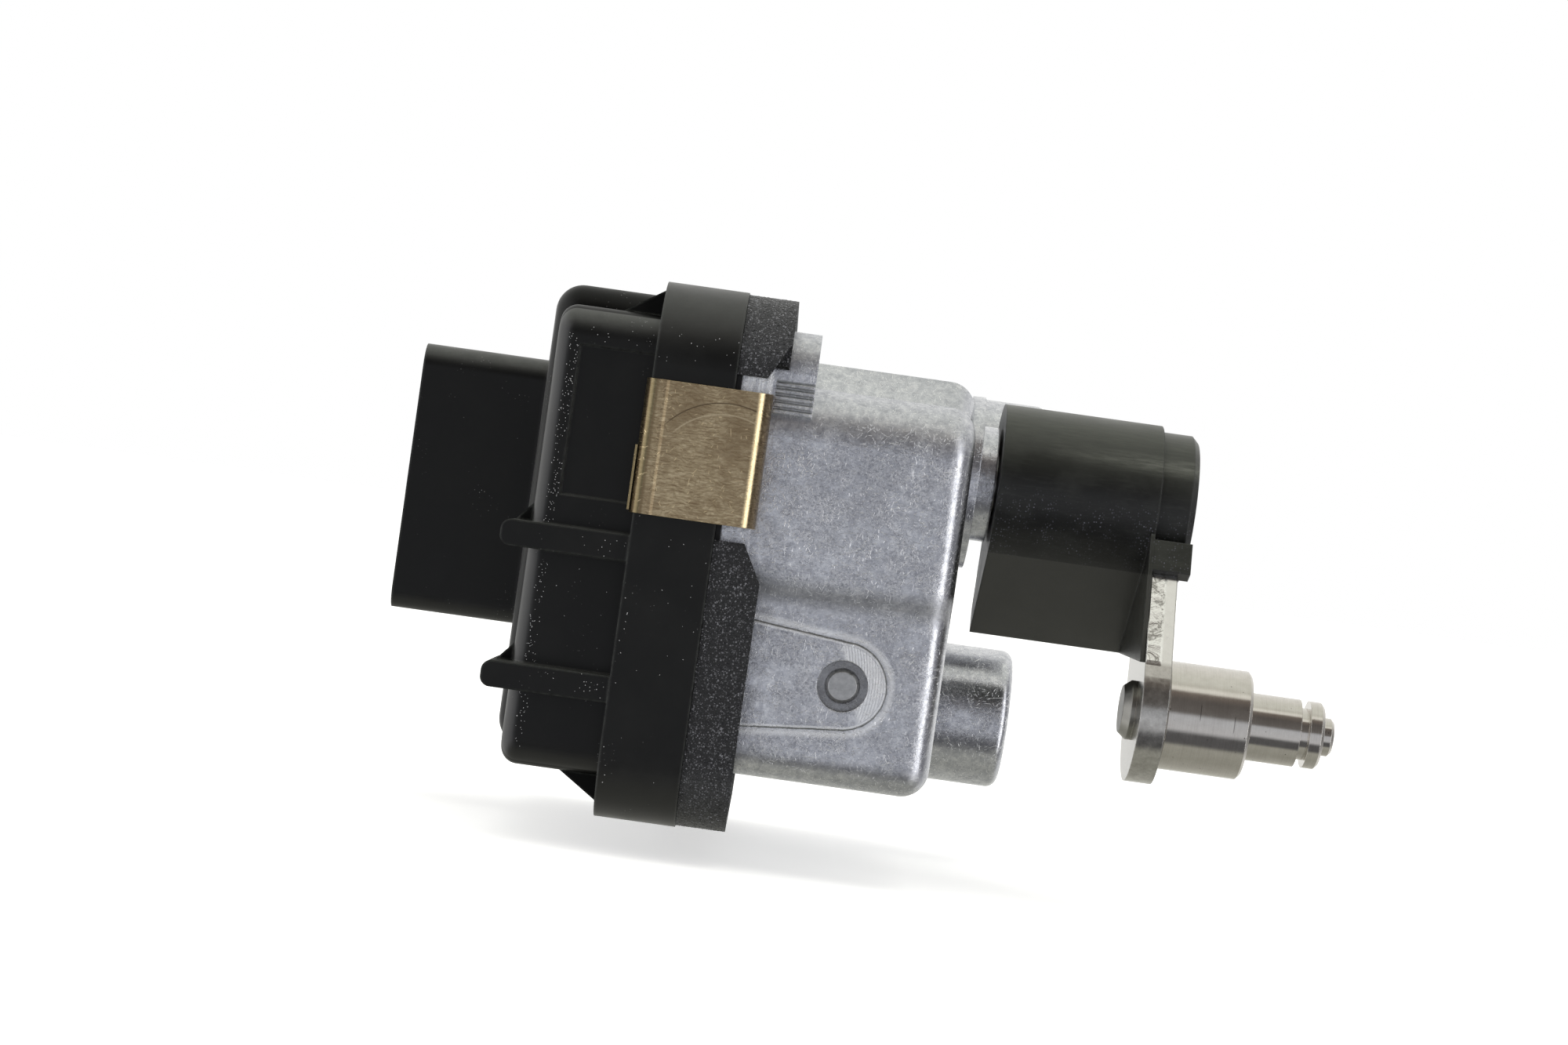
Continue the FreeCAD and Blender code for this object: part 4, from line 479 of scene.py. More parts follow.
# Turned and plated steel of the lever pin: fine rings, two faint witness marks, dark rivet head
pinLook = {
    "darkTone": (0.58, 0.55, 0.51),
    "tone": (0.74, 0.71, 0.665),
    "markTone": (0.10, 0.085, 0.08),
    "pitTone": (0.14, 0.12, 0.11),
    "rivetTone": (0.20, 0.20, 0.18),
    "roughness": (0.10, 0.16),
    "rivetRoughness": 0.2,                       # added on the rivet head
    "marks": [(20.9, 1.2), (25.4, 0.2)],         # x and z of the witness marks, z from the pin's axis, mm
    "axisHeight": -26.92,                        # z of the pin's axis, mm
    "rivet": (13.0, 12.8),                       # x where the pin's body ends and its rivet head starts, mm
    "edgeRadius": 0.15,                          # mm
}


def makeTurnedSteel():
    look = pinLook
    material, tree, shader = newMaterial("turnedSteel")
    place = objectPlace(tree)
    x, y, z = axisOf(tree, place)
    edges = softEdges(tree, look["edgeRadius"])
    rings = noise(tree, objectPlace(tree, (1.0, 0.02, 0.02)), 9.0, 4, 0.6)
    clouds = noise(tree, place, 0.5, 7, 0.7)
    grain = total(tree, product(tree, rings, 0.4), product(tree, clouds, 0.6))
    tone = mixTone(tree, spread(tree, grain, 0.30, 0.70), look["darkTone"], look["tone"])
    rivet = spread(tree, x, *look["rivet"])
    tone = mixTone(tree, product(tree, rivet, 0.75), tone, look["rivetTone"])
    for markX, markZ in look["marks"]:
        middle = look["axisHeight"] + markZ
        line = product(tree, inside(tree, x, markX - 0.05, markX + 0.05, 0.05),
                       inside(tree, z, middle - 1.0, middle + 1.0, 0.2))
        tone = mixTone(tree, product(tree, line, 0.7), tone, look["markTone"])
    distance, chance, middle = cells(tree, place, 1.3)
    pit = product(tree, spread(tree, distance, 0.14, 0.07), spread(tree, chance[0], 0.84, 0.9))
    tone = mixTone(tree, pit, tone, look["pitTone"])
    rough = total(tree, spread(tree, clouds, 0.3, 0.7, *look["roughness"]),
                  product(tree, rivet, look["rivetRoughness"]))
    coat(tree, shader, tone, rough, 1.0)
    skin = bump(tree, rings, shader, 0.06, 0.00001, edges)
    bump(tree, noise(tree, place, 5.0, 4), shader, 0.03, 0.00002, skin)
    return material


# Pressed steel of the lever arm: torn bright patches on the back half of its edge, smooth strip in front
armLook = {
    "darkTone": (0.42, 0.405, 0.38),
    "tone": (0.66, 0.645, 0.61),
    "tornTone": (1.0, 1.0, 0.97),
    "lineTone": (0.22, 0.21, 0.19),
    "edge": (13.0, 16.3),                        # x of the arm's two faces, mm
    "tearX": 14.9,                               # torn behind this x, mm
    "eyeTop": -20.2,                             # torn above this z, mm
    "roughness": (0.15, 0.24),
    "sideRoughness": 0.05,                       # added on the edge
    "edgeRadius": 0.25,                          # mm
}


def makePressedSteel():
    look = armLook
    material, tree, shader = newMaterial("pressedSteel")
    place = objectPlace(tree)
    x, y, z = axisOf(tree, place)
    edges = softEdges(tree, look["edgeRadius"])
    grain = noise(tree, place, 1.0, 7, 0.66)
    tone = mixTone(tree, spread(tree, grain, 0.30, 0.70), look["darkTone"], look["tone"])
    side = product(tree, inside(tree, x, *look["edge"], 0.08),
                   spread(tree, z, look["eyeTop"] - 0.3, look["eyeTop"] + 0.3))
    torn = product(tree, spread(tree, x, look["tearX"] + 0.15, look["tearX"] - 0.15), side)
    lumps = noise(tree, objectPlace(tree, (0.5, 0.6, 1.0)), 0.42, 5, 0.6, 0.8)
    tone = mixTone(tree, product(tree, side, 0.8), tone, look["tornTone"])
    rims = product(tree, torn, inside(tree, lumps, 0.435, 0.475, 0.02))
    tone = mixTone(tree, product(tree, rims, 0.8), tone, look["lineTone"])
    tone = mixTone(tree, product(tree, torn, spread(tree, lumps, 0.46, 0.52)), tone, look["tornTone"])
    rough = total(tree, spread(tree, grain, 0.3, 0.7, *look["roughness"]),
                  product(tree, side, look["sideRoughness"]))
    coat(tree, shader, tone, rough, 1.0)
    skin = bump(tree, grain, shader, 0.12, 0.00003, edges)
    bump(tree, product(tree, torn, lumps), shader, 0.6, 0.00030, skin)
    return material


# Black moulded sleeve: satin, with specks painted as a reflection, a painted sheen on top and one painted
# highlight streak
sleeveLook = {
    "tone": (0.0085, 0.0088, 0.0080),
    "bloomTone": (0.026, 0.027, 0.024),
    "speckReflectionTone": (0.20, 0.20, 0.245),
    "speckBand": (-9.0, -1.0),                   # band of the painted speck reflection: z from and to, mm
    "streakHighlightTone": (0.14, 0.145, 0.12),
    "paintedShine": (4.6, 6.2, -3.0, 13.0),            # painted highlight streak: z from and to, x where it starts and is full, mm
    "flatMatteAndLitTone": (0.052, 0.052, 0.045),
    "flatTop": -9.0,                             # z where the flat starts, mm
    "flatEnd": 13.0,                             # x where it ends, mm
    "edgeHighlightTone": (0.050, 0.052, 0.047),
    "topSheenTone": (0.060, 0.064, 0.050),           # painted sheen on what faces up
    "roughness": (0.32, 0.44),
    "specular": 0.45,
    "edgeRadius": 0.35,                          # mm
}


def makeSleevePlastic():
    look = sleeveLook
    material, tree, shader = newMaterial("sleevePlastic")
    place = objectPlace(tree)
    x, y, z = axisOf(tree, place)
    edges = softEdges(tree, look["edgeRadius"])
    clouds = noise(tree, place, 0.16, 5, 0.6)
    tone = mixTone(tree, spread(tree, clouds, 0.45, 0.72), look["tone"], look["bloomTone"])
    # Specks, painted bright only in a band of the sleeve as a painted reflection
    distance, chance, middle = cells(tree, place, 3.2)
    speck = product(tree, spread(tree, distance, 0.4, 0.15), spread(tree, chance[0], 0.45, 0.85),
                    spread(tree, noise(tree, place, 0.3, 4), 0.40, 0.60),
                    inside(tree, z, *look["speckBand"], 1.5))
    tone = mixTone(tree, speck, tone, look["speckReflectionTone"])
    streaks = noise(tree, objectPlace(tree, (0.12, 1.0, 1.0)), 2.2, 5, 0.7)
    tone = mixTone(tree, spread(tree, streaks, 0.52, 0.7, 0.0, 0.7), tone, look["bloomTone"])
    # Painted sheen on the faces that point up
    topSheen = product(tree, spread(tree, facing(tree)[2], 0.1, 0.8), spread(tree, streaks, 0.3, 0.7, 0.6, 1.0))
    tone = mixTone(tree, topSheen, tone, look["topSheenTone"])
    # Painted highlight streak
    low, high, start, full = look["paintedShine"]
    paintedShine = product(tree, inside(tree, z, low, high, 0.8), spread(tree, x, start, full),
                     spread(tree, streaks, 0.35, 0.6, 0.3, 1.0))
    tone = mixTone(tree, paintedShine, tone, look["streakHighlightTone"])
    # The flat face is painted lighter: partly its own matte tone, partly painted light to make up for the
    # shade it lies in
    flat = product(tree, spread(tree, z, look["flatTop"] + 0.05, look["flatTop"] - 0.05),
                   spread(tree, x, look["flatEnd"], look["flatEnd"] - 0.1))
    tone = mixTone(tree, flat, tone, look["flatMatteAndLitTone"])
    # Painted highlight: the edges are painted lighter
    tone = mixTone(tree, product(tree, edgeMask(tree, edges), 0.6), tone, look["edgeHighlightTone"])
    coat(tree, shader, tone, spread(tree, clouds, 0.3, 0.7, *look["roughness"]))
    shader.inputs["Specular IOR Level"].default_value = look["specular"]
    skin = bump(tree, noise(tree, place, 4.5, 6, 0.65), shader, 0.25, 0.00005, edges)
    bump(tree, streaks, shader, 0.1, 0.00003, skin)
    return material


# Plain metals and plastics of the inner pieces share one recipe
def makePlainMetal(name, tone, roughness, streaks=(1, 1, 1)):
    material, tree, shader = newMaterial(name)
    edges = softEdges(tree, 0.12)
    grain = noise(tree, objectPlace(tree, streaks), 1.2, 7, 0.68)
    dark = tuple(part * 0.62 for part in tone)
    light = tuple(min(1, part * 1.3) for part in tone)
    body = mixTone(tree, spread(tree, grain, 0.32, 0.68), dark, tone)
    rough = spread(tree, grain, 0.3, 0.7, roughness - 0.06, roughness + 0.1)
    # Painted highlight: the edges are painted lighter
    coat(tree, shader, mixTone(tree, edgeMask(tree, edges), body, light), rough, 1.0)
    bump(tree, grain, shader, 0.15, 0.00003, edges)
    return material


def makePlainPlastic(name, tone, roughness):
    material, tree, shader = newMaterial(name)
    place = objectPlace(tree)
    edges = softEdges(tree, 0.2)
    grain = noise(tree, place, 0.6, 6, 0.6)
    light = tuple(min(1, part * 1.35) for part in tone)
    body = mixTone(tree, spread(tree, grain, 0.3, 0.7), tone, light)
    rough = spread(tree, grain, 0.3, 0.7, roughness - 0.06, roughness + 0.08)
    # Painted highlight: the edges are painted lighter
    coat(tree, shader, mixTone(tree, edgeMask(tree, edges), body, light), rough)
    bump(tree, noise(tree, place, 4.0, 4), shader, 0.15, 0.00004, edges)
    return material


# Copper windings in a laminated core, with a copper commutator
coreLook = {
    "sheetTones": ((0.10, 0.095, 0.09), (0.30, 0.29, 0.28)),
    "sheetPitch": 12.0,                          # radians per mm
    "copperTone": (0.62, 0.29, 0.15),
    "copperStart": 38.4,                         # y, mm
    "roughness": (0.3, 0.5),
}


def makeWoundCore():
    look = coreLook
    material, tree, shader = newMaterial("woundCore")
    place = objectPlace(tree)
    y = axisOf(tree, place)[1]
    sheets = calc(tree, "SINE", product(tree, y, look["sheetPitch"]))
    tone = mixTone(tree, spread(tree, sheets, -0.4, 0.9), *look["sheetTones"])
    copper = spread(tree, y, look["copperStart"], look["copperStart"] + 0.2)
    tone = mixTone(tree, copper, tone, look["copperTone"])
    coat(tree, shader, tone, spread(tree, noise(tree, place, 2.0, 5), 0.3, 0.7, *look["roughness"]), 1.0)
    bump(tree, sheets, shader, 0.4, 0.00006)
    return material


# Green board with copper tracks under its mask
boardLook = {
    "tones": ((0.010, 0.075, 0.035), (0.030, 0.17, 0.075)),   # bare, and over a track
    "perMm": (0.32, 0.21),                       # tracks per mm along y and along z
    "roughness": (0.25, 0.4),
}


def makeBoardLaminate():
    look = boardLook
    material, tree, shader = newMaterial("boardLaminate")
    place = objectPlace(tree)
    x, y, z = axisOf(tree, place)
    alongY, alongZ = look["perMm"]
    tracks = most(tree, inside(tree, calc(tree, "FRACT", product(tree, y, alongY)), 0.40, 0.62, 0.03),
                  inside(tree, calc(tree, "FRACT", product(tree, z, alongZ)), 0.44, 0.56, 0.03))
    tracks = product(tree, tracks, spread(tree, noise(tree, place, 0.12, 2), 0.48, 0.52))
    tone = mixTone(tree, tracks, *look["tones"])
    coat(tree, shader, tone, spread(tree, noise(tree, place, 1.5, 4), 0.3, 0.7, *look["roughness"]))
    bump(tree, tracks, shader, 0.4, 0.00005)
    return material


looks = {                                        # material of each CAD node
    "rear_cover": makeCoverPlastic(),
    "gear_housing": makeCastAluminium(),
    "clip_near": makeSpringBronze(),
    "lever_arm": makePressedSteel(),
    "lever_pin": makeTurnedSteel(),
    "hub_sleeve": makeSleevePlastic(),
    "worm_thrust_pin": makePlainMetal("groundSteel", (0.58, 0.58, 0.58), 0.30),
    "output_shaft": makePlainMetal("shaftSteel", (0.50, 0.50, 0.50), 0.25, (1, 0.1, 0.1)),
    "shaft_seal": makePlainPlastic("sealRubber", (0.012, 0.012, 0.013), 0.55),
    "shaft_bush_outer": makePlainMetal("sinteredBronze", (0.40, 0.27, 0.14), 0.42),
    "connector_pins": makePlainMetal("tinnedContact", (0.66, 0.65, 0.62), 0.26),
    "motor_can": makePlainMetal("platedSteel", (0.55, 0.56, 0.58), 0.30),
    "motor_end_cap": makePlainPlastic("naturalPlastic", (0.50, 0.46, 0.36), 0.42),
    "motor_magnets": makePlainMetal("ferrite", (0.07, 0.07, 0.075), 0.55),
    "motor_rotor": makeWoundCore(),
    "circuit_board": makeBoardLaminate(),
    "board_components": makePlainPlastic("componentCase", (0.020, 0.020, 0.021), 0.38),
}
sharedLooks = {
    "clip_near": ["clip_far_upper", "clip_far_lower"],
    "output_shaft": ["shaft_washer", "motor_shaft", "worm"],
    "shaft_seal": ["cover_gasket"],
    "shaft_bush_outer": ["shaft_bush_inner", "worm_bush"],
    "connector_pins": ["motor_terminals", "motor_contacts"],
    "motor_can": ["motor_screws", "board_screws"],
    "motor_end_cap": ["worm_sector", "sensor_rotor"],
}
print("stage: materials made,", len(looks))


def dress(node, material):
    item = nodes[node]
    item.data.materials.clear()
    item.data.materials.append(material)


for name, material in looks.items():
    dress(name, material)
for name, others in sharedLooks.items():
    for other in others:
        dress(other, looks[name])
print("stage: nodes dressed")


def addObject(name, data):
    item = bpy.data.objects.new(name, data)
    bpy.context.scene.collection.objects.link(item)
    return item


# Small tools for geometry node trees
def newTree(name, inputs):                       # inputs: (name, kind, value)
    tree = bpy.data.node_groups.new(name, "GeometryNodeTree")
    tree.interface.new_socket("Geometry", in_out="INPUT", socket_type="NodeSocketGeometry")
    sockets = {}
    for label, kind, value in inputs:
        socket = tree.interface.new_socket(label, in_out="INPUT", socket_type=kind)
        socket.default_value = value
        sockets[label] = socket.identifier
    tree.interface.new_socket("Geometry", in_out="OUTPUT", socket_type="NodeSocketGeometry")
    return tree, tree.nodes.new("NodeGroupInput"), tree.nodes.new("NodeGroupOutput"), sockets


def feed(tree, kind, sources):                   # a new node, with sources linked to its inputs by name
    node = tree.nodes.new(kind)
    for key, source in sources.items():
        link(tree, source, node.inputs[key])
    return node


def settle(tree, instances, material, sink):     # instances become plain geometry with one material
    solid = feed(tree, "GeometryNodeRealizeInstances", {"Geometry": instances})
    paint = feed(tree, "GeometryNodeSetMaterial", {"Geometry": solid.outputs["Geometry"]})
    paint.inputs["Material"].default_value = material
    link(tree, paint.outputs["Geometry"], sink.inputs["Geometry"])


def meshFrom(base, tree, sockets, values, name):  # runs the tree on a base mesh and keeps a plain mesh
    modifier = base.modifiers.new("shape", "NODES")
    modifier.node_group = tree
    for label, value in values.items():
        modifier[sockets[label]] = value
    depsgraph = bpy.context.evaluated_depsgraph_get()
    mesh = bpy.data.meshes.new_from_object(base.evaluated_get(depsgraph))
    base.modifiers.remove(modifier)
    bpy.data.objects.remove(base)
    mesh.name = name
    return addObject(name, mesh)


def carrier(name, corners, faces):               # a mesh that only carries points, in mm
    mesh = bpy.data.meshes.new(name)
    mesh.from_pydata([[part * mm for part in corner] for corner in corners], [], faces)
    return addObject(name, mesh)


def joinPieces(pieces, name):
    build = bmesh.new()
    for piece in pieces:
        build.from_mesh(piece.data)
    mesh = bpy.data.meshes.new(name)
    build.to_mesh(mesh)
    build.free()
    mesh.materials.append(pieces[0].data.materials[0])
    for piece in pieces:
        bpy.data.objects.remove(piece)
    return addObject(name, mesh)


# Grains scattered over faces: each is a low crystal, turned and sized at random
def makeGrainTree(name, material):
    tree, source, sink, sockets = newTree(name, [
        ("Density", "NodeSocketFloat", 1000.0), ("Seed", "NodeSocketInt", 1),
        ("Smallest", "NodeSocketFloat", 0.0001), ("Largest", "NodeSocketFloat", 0.0002),
        ("Height", "NodeSocketFloat", 0.4)])
    given = source.outputs
    points = feed(tree, "GeometryNodeDistributePointsOnFaces",
                  {"Mesh": given["Geometry"], "Density": given["Density"], "Seed": given["Seed"]})
    grain = addNode(tree, "GeometryNodeMeshIcoSphere", Radius=0.5, Subdivisions=1)
    low = feed(tree, "ShaderNodeCombineXYZ", {"Z": given["Height"]})
    low.inputs["X"].default_value = 1.0
    low.inputs["Y"].default_value = 0.8
    flat = feed(tree, "GeometryNodeTransform", {"Geometry": grain.outputs["Mesh"], "Scale": low.outputs[0]})
    size = feed(tree, "FunctionNodeRandomValue",
                {2: given["Smallest"], 3: given["Largest"], "Seed": given["Seed"]})
    spin = tree.nodes.new("FunctionNodeRandomValue")
    spin.inputs[3].default_value = 2 * math.pi
    twist = feed(tree, "ShaderNodeCombineXYZ", {"Z": spin.outputs[1]})
    turned = feed(tree, "FunctionNodeRotateRotation", {0: points.outputs["Rotation"], 1: twist.outputs[0]})
    turned.rotation_space = "LOCAL"
    place = feed(tree, "GeometryNodeInstanceOnPoints",
                 {"Points": points.outputs["Points"], "Instance": flat.outputs["Geometry"],
                  "Rotation": turned.outputs[0], "Scale": size.outputs[1]})
    settle(tree, place.outputs["Instances"], material, sink)
    return tree, sockets


# Lint and dust on the black cover, on the faces towards the viewer
dustLook = {
    "tone": (0.62, 0.62, 0.60),
    "darkTone": (0.16, 0.16, 0.16),
    "fields": [                                  # x from and to, z from and to, y, specks per square cm
        (-66.3, -64.9, -42.0, -34.5, -23.5, 260),
        (-66.3, -64.9, -31.0, -18.0, -23.5, 330),
        (-66.3, -64.9, -13.0, 11.5, -23.5, 400),
        (-58.5, -55.2, -16.4, -13.4, -26.7, 90),
        (-63.0, -58.5, -16.4, -13.4, -26.7, 18),
        (-59.5, -55.2, -34.5, -31.5, -26.7, 110),
        (-63.0, -59.5, -34.5, -31.5, -26.7, 25),
        (-54.6, -53.6, -46.0, 10.0, -27.5, 22),
        (-54.4, -44.6, -44.0, -12.0, -27.5, 6),
        (-54.4, -44.6, 9.0, 14.0, -27.5, 28),
        (-64.0, -55.2, 10.4, 12.8, -23.5, 45),
        (-64.0, -56.0, -30.5, -17.5, -23.5, 6),
    ],
    "sizes": (0.08, 0.15),                       # mm
    "roughness": 0.9,
    "seed": 7,
}


def makeDust():
    look = dustLook
    material, tree, shader = newMaterial("paleDust")
    shade = spread(tree, noise(tree, objectPlace(tree), 3.0, 2), 0.35, 0.6)
    link(tree, mixTone(tree, shade, look["darkTone"], look["tone"]), shader.inputs["Base Color"])
    shader.inputs["Roughness"].default_value = look["roughness"]
    grainTree, sockets = makeGrainTree("dustTree", material)
    smallest, largest = (size * mm for size in look["sizes"])
    patches = []                                 # each field has its own density, so its own mesh at first
    for index, (x0, x1, z0, z1, y, share) in enumerate(look["fields"]):
        field = carrier("dustField", [(x0, y, z0), (x1, y, z0), (x1, y, z1), (x0, y, z1)], [(0, 1, 2, 3)])
        patches.append(meshFrom(field, grainTree, sockets,
                                {"Density": share * 1.0e4, "Seed": look["seed"] + index,
                                 "Smallest": smallest, "Largest": largest}, "dustPatch"))
    dust = joinPieces(patches, "coverDust")
    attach(dust, "root")


makeDust()
print("stage: dust scattered")


# Grains of the spark-eroded skirt, all the way round, on a copy of the cover's outer faces
grainLook = {
    "tone": (0.020, 0.020, 0.022),
    # Painted glints on some of the grains
    "glintTone": (0.30, 0.30, 0.32),
    "roughness": 0.24,
    "specular": 0.6,
    "band": (-44.2, -38.1),                      # x of the rough band, mm
    "rimMiddle": (12.75, -15),                   # y and z of the middle of the cover's rim, mm
    "density": 4.4,                              # grains per square mm
    "sizes": (0.12, 0.34),                       # mm
    "height": 0.35,
    "seed": 11,
}


def makeSkirtGrains():
    look = grainLook
    material, tree, shader = newMaterial("skirtGrains")
    # Painted glints: some grains are coloured bright at random
    chance = cells(tree, objectPlace(tree), 2.2)[1]
    shade = mixTone(tree, spread(tree, chance[0], 0.55, 1.0), look["tone"], look["glintTone"])
    link(tree, shade, shader.inputs["Base Color"])
    shader.inputs["Roughness"].default_value = look["roughness"]
    shader.inputs["Specular IOR Level"].default_value = look["specular"]
    source = nodes["rear_cover"].data
    low, high = (end * mm for end in look["band"])
    centre = Vector((0, *look["rimMiddle"])) * mm
    corners, faces = [], []
    for face in source.polygons:
        points = [source.vertices[index].co for index in face.vertices]
        middle = face.center
        outward = face.normal.dot(Vector((0, middle.y - centre.y, middle.z - centre.z)).normalized())
        if min(point.x for point in points) < low - 0.2 * mm or outward < 0.3 or abs(face.normal.x) > 0.3:
            continue
        start = len(corners)
        corners += [(min(point.x, high) / mm, point.y / mm, point.z / mm) for point in points]
        faces.append(tuple(range(start, start + len(points))))
    grainTree, sockets = makeGrainTree("grainTree", material)
    smallest, largest = (size * mm for size in look["sizes"])
    grains = meshFrom(carrier("skirtFaces", corners, faces), grainTree, sockets,
                      {"Density": look["density"] * 1.0e6, "Seed": look["seed"], "Smallest": smallest,
                       "Largest": largest, "Height": look["height"]}, "skirtGrains")
    print("stage: skirt grains,", len(grains.data.polygons), "faces on", len(faces), "of the cover's")
    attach(grains, "root")


makeSkirtGrains()


# Low ridges that the die left on the foot of the ear boss
ridgeLook = {
    "middle": (-36.75, -24.5, 5.0),              # middle of the lowest ridge: x, y and z, mm
    "length": 4.9,                               # mm
    "width": 0.64,                               # mm
    "rise": 0.30,                                # out of the boss, mm
    "pitch": 0.873,                              # mm
    "count": 5,
    "sides": 12,
}


def makeEarRidges():
    look = ridgeLook
    tree, source, sink, sockets = newTree("ridgeTree", [
        ("Pitch", "NodeSocketFloat", 0.001), ("Count", "NodeSocketInt", 3),
        ("Length", "NodeSocketFloat", 0.005), ("Width", "NodeSocketFloat", 0.0005),
        ("Rise", "NodeSocketFloat", 0.0001)])
    given = source.outputs
    step = feed(tree, "ShaderNodeCombineXYZ", {"Z": given["Pitch"]})
    row = feed(tree, "GeometryNodeMeshLine", {"Count": given["Count"], "Offset": step.outputs[0]})
    bar = feed(tree, "GeometryNodeMeshCylinder", {"Depth": given["Length"]})
    bar.inputs["Vertices"].default_value = look["sides"]
    bar.inputs["Radius"].default_value = 1.0
    # The bar stands along Z: its X becomes the width, its Y the rise, and it is laid along X
    half = product(tree, given["Width"], 0.5)
    section = feed(tree, "ShaderNodeCombineXYZ", {"X": half, "Y": given["Rise"]})
    section.inputs["Z"].default_value = 1.0
    flat = feed(tree, "GeometryNodeTransform", {"Geometry": bar.outputs["Mesh"], "Scale": section.outputs[0]})
    laid = feed(tree, "GeometryNodeTransform", {"Geometry": flat.outputs["Geometry"]})
    laid.inputs["Rotation"].default_value = (0, math.pi / 2, 0)
    place = feed(tree, "GeometryNodeInstanceOnPoints",
                 {"Points": row.outputs["Mesh"], "Instance": laid.outputs["Geometry"]})
    moved = feed(tree, "GeometryNodeTransform", {"Geometry": place.outputs["Instances"]})
    moved.inputs["Translation"].default_value = [part * mm for part in look["middle"]]
    settle(tree, moved.outputs["Geometry"], looks["gear_housing"], sink)
    ridges = meshFrom(carrier("ridgeSeed", [(0, 0, 0)], []), tree, sockets,
                      {"Pitch": look["pitch"] * mm, "Count": look["count"], "Length": look["length"] * mm,
                       "Width": look["width"] * mm, "Rise": look["rise"] * mm}, "earRidges")
    print("stage: ear ridges,", len(ridges.data.polygons), "faces")
    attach(ridges, "root")


makeEarRidges()


# Camera: the photograph's level view along +Y, rolled by eight degrees
cameraSetup = {
    "place": (-35.8, -436.5, -8.9),              # mm
    "roll": math.radians(8.0),
    "lens": 74.2,                                # mm
    "sensor": 36.0,                              # mm
    "clip": (0.01, 20),                          # m
}


def makeCamera():
    data = bpy.data.cameras.new("photoCamera")
    data.lens = cameraSetup["lens"]
    data.sensor_width = cameraSetup["sensor"]
    data.clip_start, data.clip_end = cameraSetup["clip"]
    camera = addObject("photoCamera", data)
    roll = cameraSetup["roll"]
    right = Vector((math.cos(roll), 0, math.sin(roll)))
    up = Vector((-math.sin(roll), 0, math.cos(roll)))
    turn = Matrix((right, up, right.cross(up))).transposed().to_4x4()
    camera.matrix_world = Matrix.Translation(Vector(cameraSetup["place"]) * mm) @ turn
    bpy.context.scene.camera = camera


studio = {
    "floorDrop": 0.004,                          # floor below the lowest point, m
    "floorSize": 6.0,                            # half its side, m
    "floorTone": (0.93, 0.93, 0.92),
    "floorGlow": 0.55,
    "backdrop": (1.0, 1.0, 1.0),
    "card": ((-0.03, -0.02, 0.62), (0.55, 0.45), 1.3, (1.0, 1.0, 0.98)),   # place m, size m, power W, colour
    "cardAim": (-0.02, 0.0, -0.01),              # m
    "heights": [                                 # degrees up from the viewer, round X, and the light
        (-180, (1.00, 1.00, 0.98)), (-150, (0.55, 0.55, 0.50)), (-120, (0.42, 0.42, 0.38)),
        (-95, (0.35, 0.35, 0.31)), (-62, (0.40, 0.40, 0.36)), (-54, (0.11, 0.11, 0.115)),
        (-32, (0.11, 0.11, 0.115)), (-23, (0.60, 0.61, 0.64)), (6, (0.56, 0.58, 0.62)),
        (13, (0.16, 0.15, 0.145)), (40, (0.12, 0.11, 0.105)), (57, (0.20, 0.17, 0.15)),
        (62, (0.95, 0.94, 0.88)), (68, (0.92, 0.92, 0.86)), (74, (0.66, 0.66, 0.60)),
        (84, (0.78, 0.79, 0.73)), (100, (0.80, 0.81, 0.75)), (125, (0.88, 0.88, 0.84)),
        (180, (1.00, 1.00, 0.98))],
    "sides": [                                   # degrees round Z from the viewer, right is positive
        (-180, (1.00, 1.00, 0.98)), (-130, (1.10, 1.10, 1.08)), (-90, (1.6, 1.6, 1.6)),
        (-60, (1.3, 1.3, 1.32)), (-36, (0.60, 0.62, 0.66)), (0, (0.54, 0.56, 0.60)),
        (36, (0.33, 0.34, 0.37)), (52, (0.22, 0.22, 0.24)), (57, (2.6, 2.6, 2.6)),
        (67, (2.6, 2.6, 2.6)), (72, (0.22, 0.22, 0.24)), (98, (0.22, 0.22, 0.23)),
        (125, (0.8, 0.8, 0.78)), (180, (1.00, 1.00, 0.98))],
}


def byCameraRay(tree, others, seen, output):     # one shader for camera rays, one for all others
    path = tree.nodes.new("ShaderNodeLightPath")
    blend = tree.nodes.new("ShaderNodeMixShader")
    link(tree, path.outputs["Is Camera Ray"], blend.inputs[0])
    link(tree, others.outputs[0], blend.inputs[1])
    link(tree, seen.outputs[0], blend.inputs[2])
    link(tree, blend.outputs[0], output.inputs["Surface"])


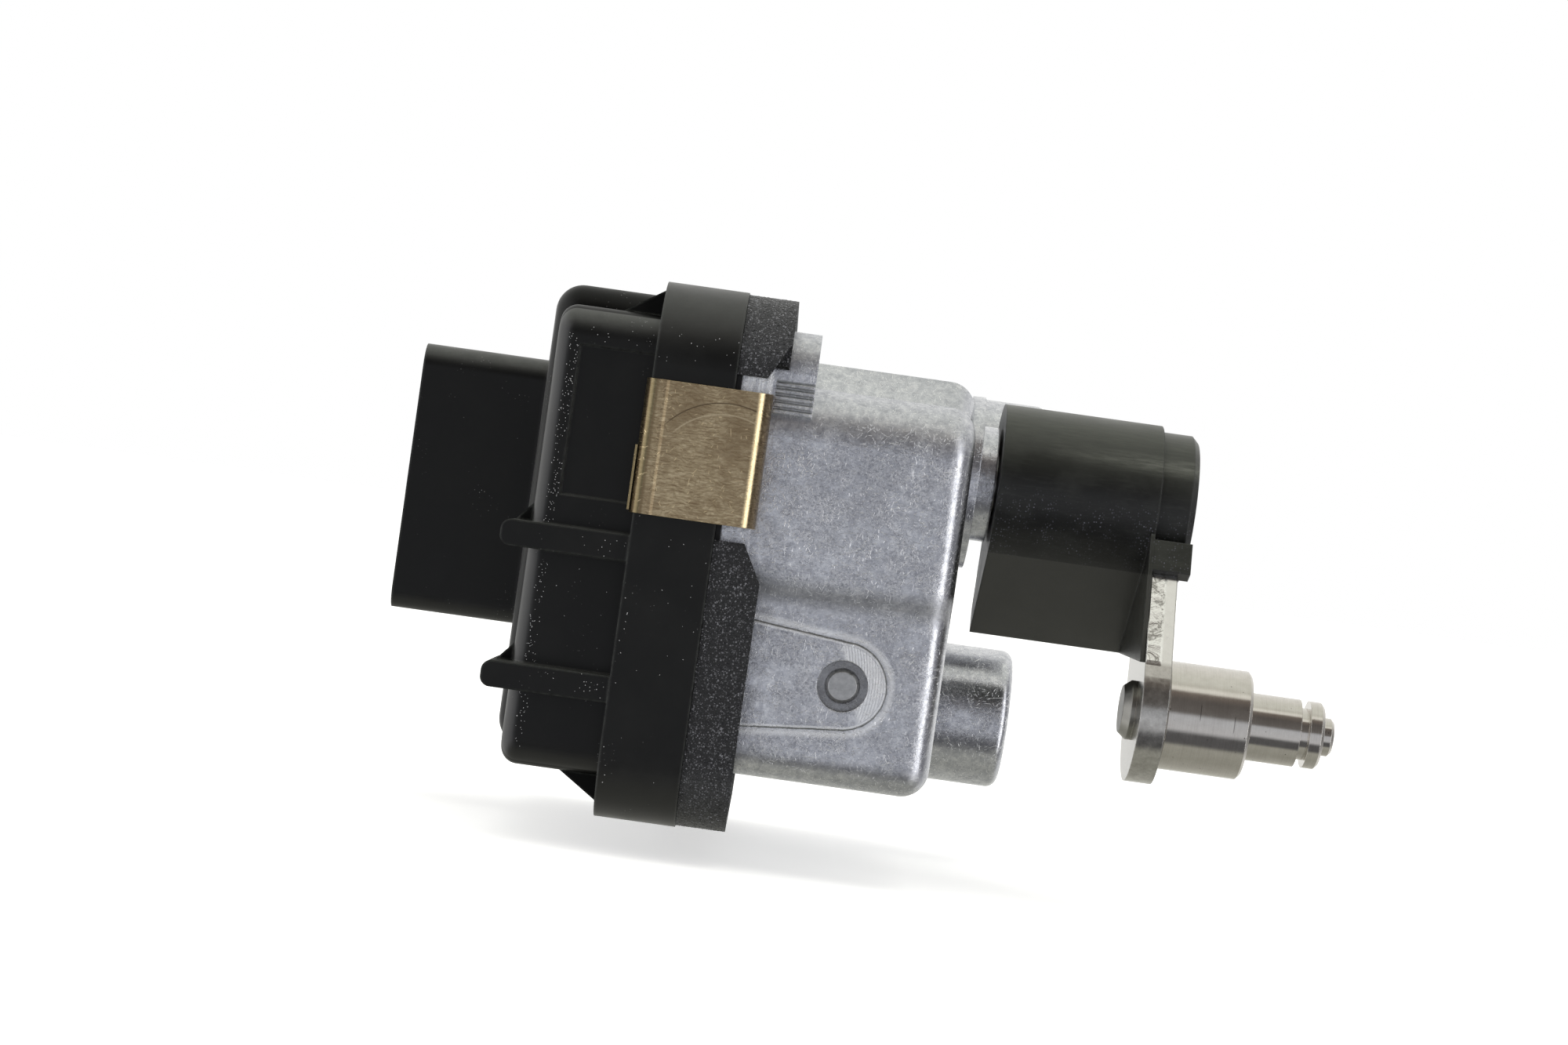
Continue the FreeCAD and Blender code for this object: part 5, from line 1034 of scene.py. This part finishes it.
def makeFloor():
    low = cadBox[0][2] - studio["floorDrop"]
    size = studio["floorSize"]
    mesh = bpy.data.meshes.new("paleFloor")
    mesh.from_pydata([(-size, -size, low), (size, -size, low), (size, size, low), (-size, size, low)],
                     [], [(0, 1, 2, 3)])
    floor = addObject("paleFloor", mesh)
    material, tree, shader = newMaterial("palePaper")
    shader.inputs["Base Color"].default_value = (*studio["floorTone"], 1)
    shader.inputs["Roughness"].default_value = 1.0
    shader.inputs["Specular IOR Level"].default_value = 0.0
    shader.inputs["Emission Color"].default_value = (*studio["backdrop"], 1)
    shader.inputs["Emission Strength"].default_value = studio["floorGlow"]
    # Light from below passes it, as through thin paper
    clear = tree.nodes.new("ShaderNodeBsdfTransparent")
    output = [node for node in tree.nodes if node.type == "OUTPUT_MATERIAL"][0]
    byCameraRay(tree, clear, shader, output)
    mesh.materials.append(material)


def makeLights():
    place, size, power, colour = studio["card"]
    data = bpy.data.lights.new("topCard", "AREA")
    data.shape = "RECTANGLE"
    data.size, data.size_y = size
    data.energy = power
    data.color = colour
    lamp = addObject("topCard", data)
    lamp.visible_glossy = False
    aim = Vector(studio["cardAim"]) - Vector(place)
    lamp.matrix_world = Matrix.Translation(place) @ aim.to_track_quat("-Z", "Y").to_matrix().to_4x4()


def lightBand(tree, first, second, stops):       # light by the angle between two axes of the view, in degrees
    angle = calc(tree, "DEGREES", calc(tree, "ARCTAN2", first, second))
    return ramp(tree, spread(tree, angle, -180, 180), [((at + 180) / 360, tone) for at, tone in stops])


# Light tent: what the metal mirrors, by height and by side, and white behind it all
def makeTent():
    world = bpy.data.worlds.new("lightTent")
    bpy.context.scene.world = world
    world.use_nodes = True
    tree = world.node_tree
    tree.nodes.clear()
    output = tree.nodes.new("ShaderNodeOutputWorld")
    coords = tree.nodes.new("ShaderNodeTexCoord")
    x, y, z = axisOf(tree, coords.outputs["Generated"])
    ahead = product(tree, y, -1.0)
    heightTone = lightBand(tree, z, ahead, studio["heights"])
    sideTone = lightBand(tree, x, ahead, studio["sides"])
    sideways = product(tree, spread(tree, calc(tree, "ABSOLUTE", x), 0.35, 0.7),
                       spread(tree, calc(tree, "ABSOLUTE", z), 0.75, 0.5))
    tent = addNode(tree, "ShaderNodeBackground", Strength=1.0)
    link(tree, mixTone(tree, sideways, heightTone, sideTone), tent.inputs["Color"])
    white = addNode(tree, "ShaderNodeBackground", Strength=1.0)
    white.inputs["Color"].default_value = (*studio["backdrop"], 1)
    byCameraRay(tree, tent, white, output)


makeCamera()
makeFloor()
makeLights()
makeTent()
bpy.context.scene.view_settings.view_transform = "Standard"
print("stage: camera, floor and lights set")
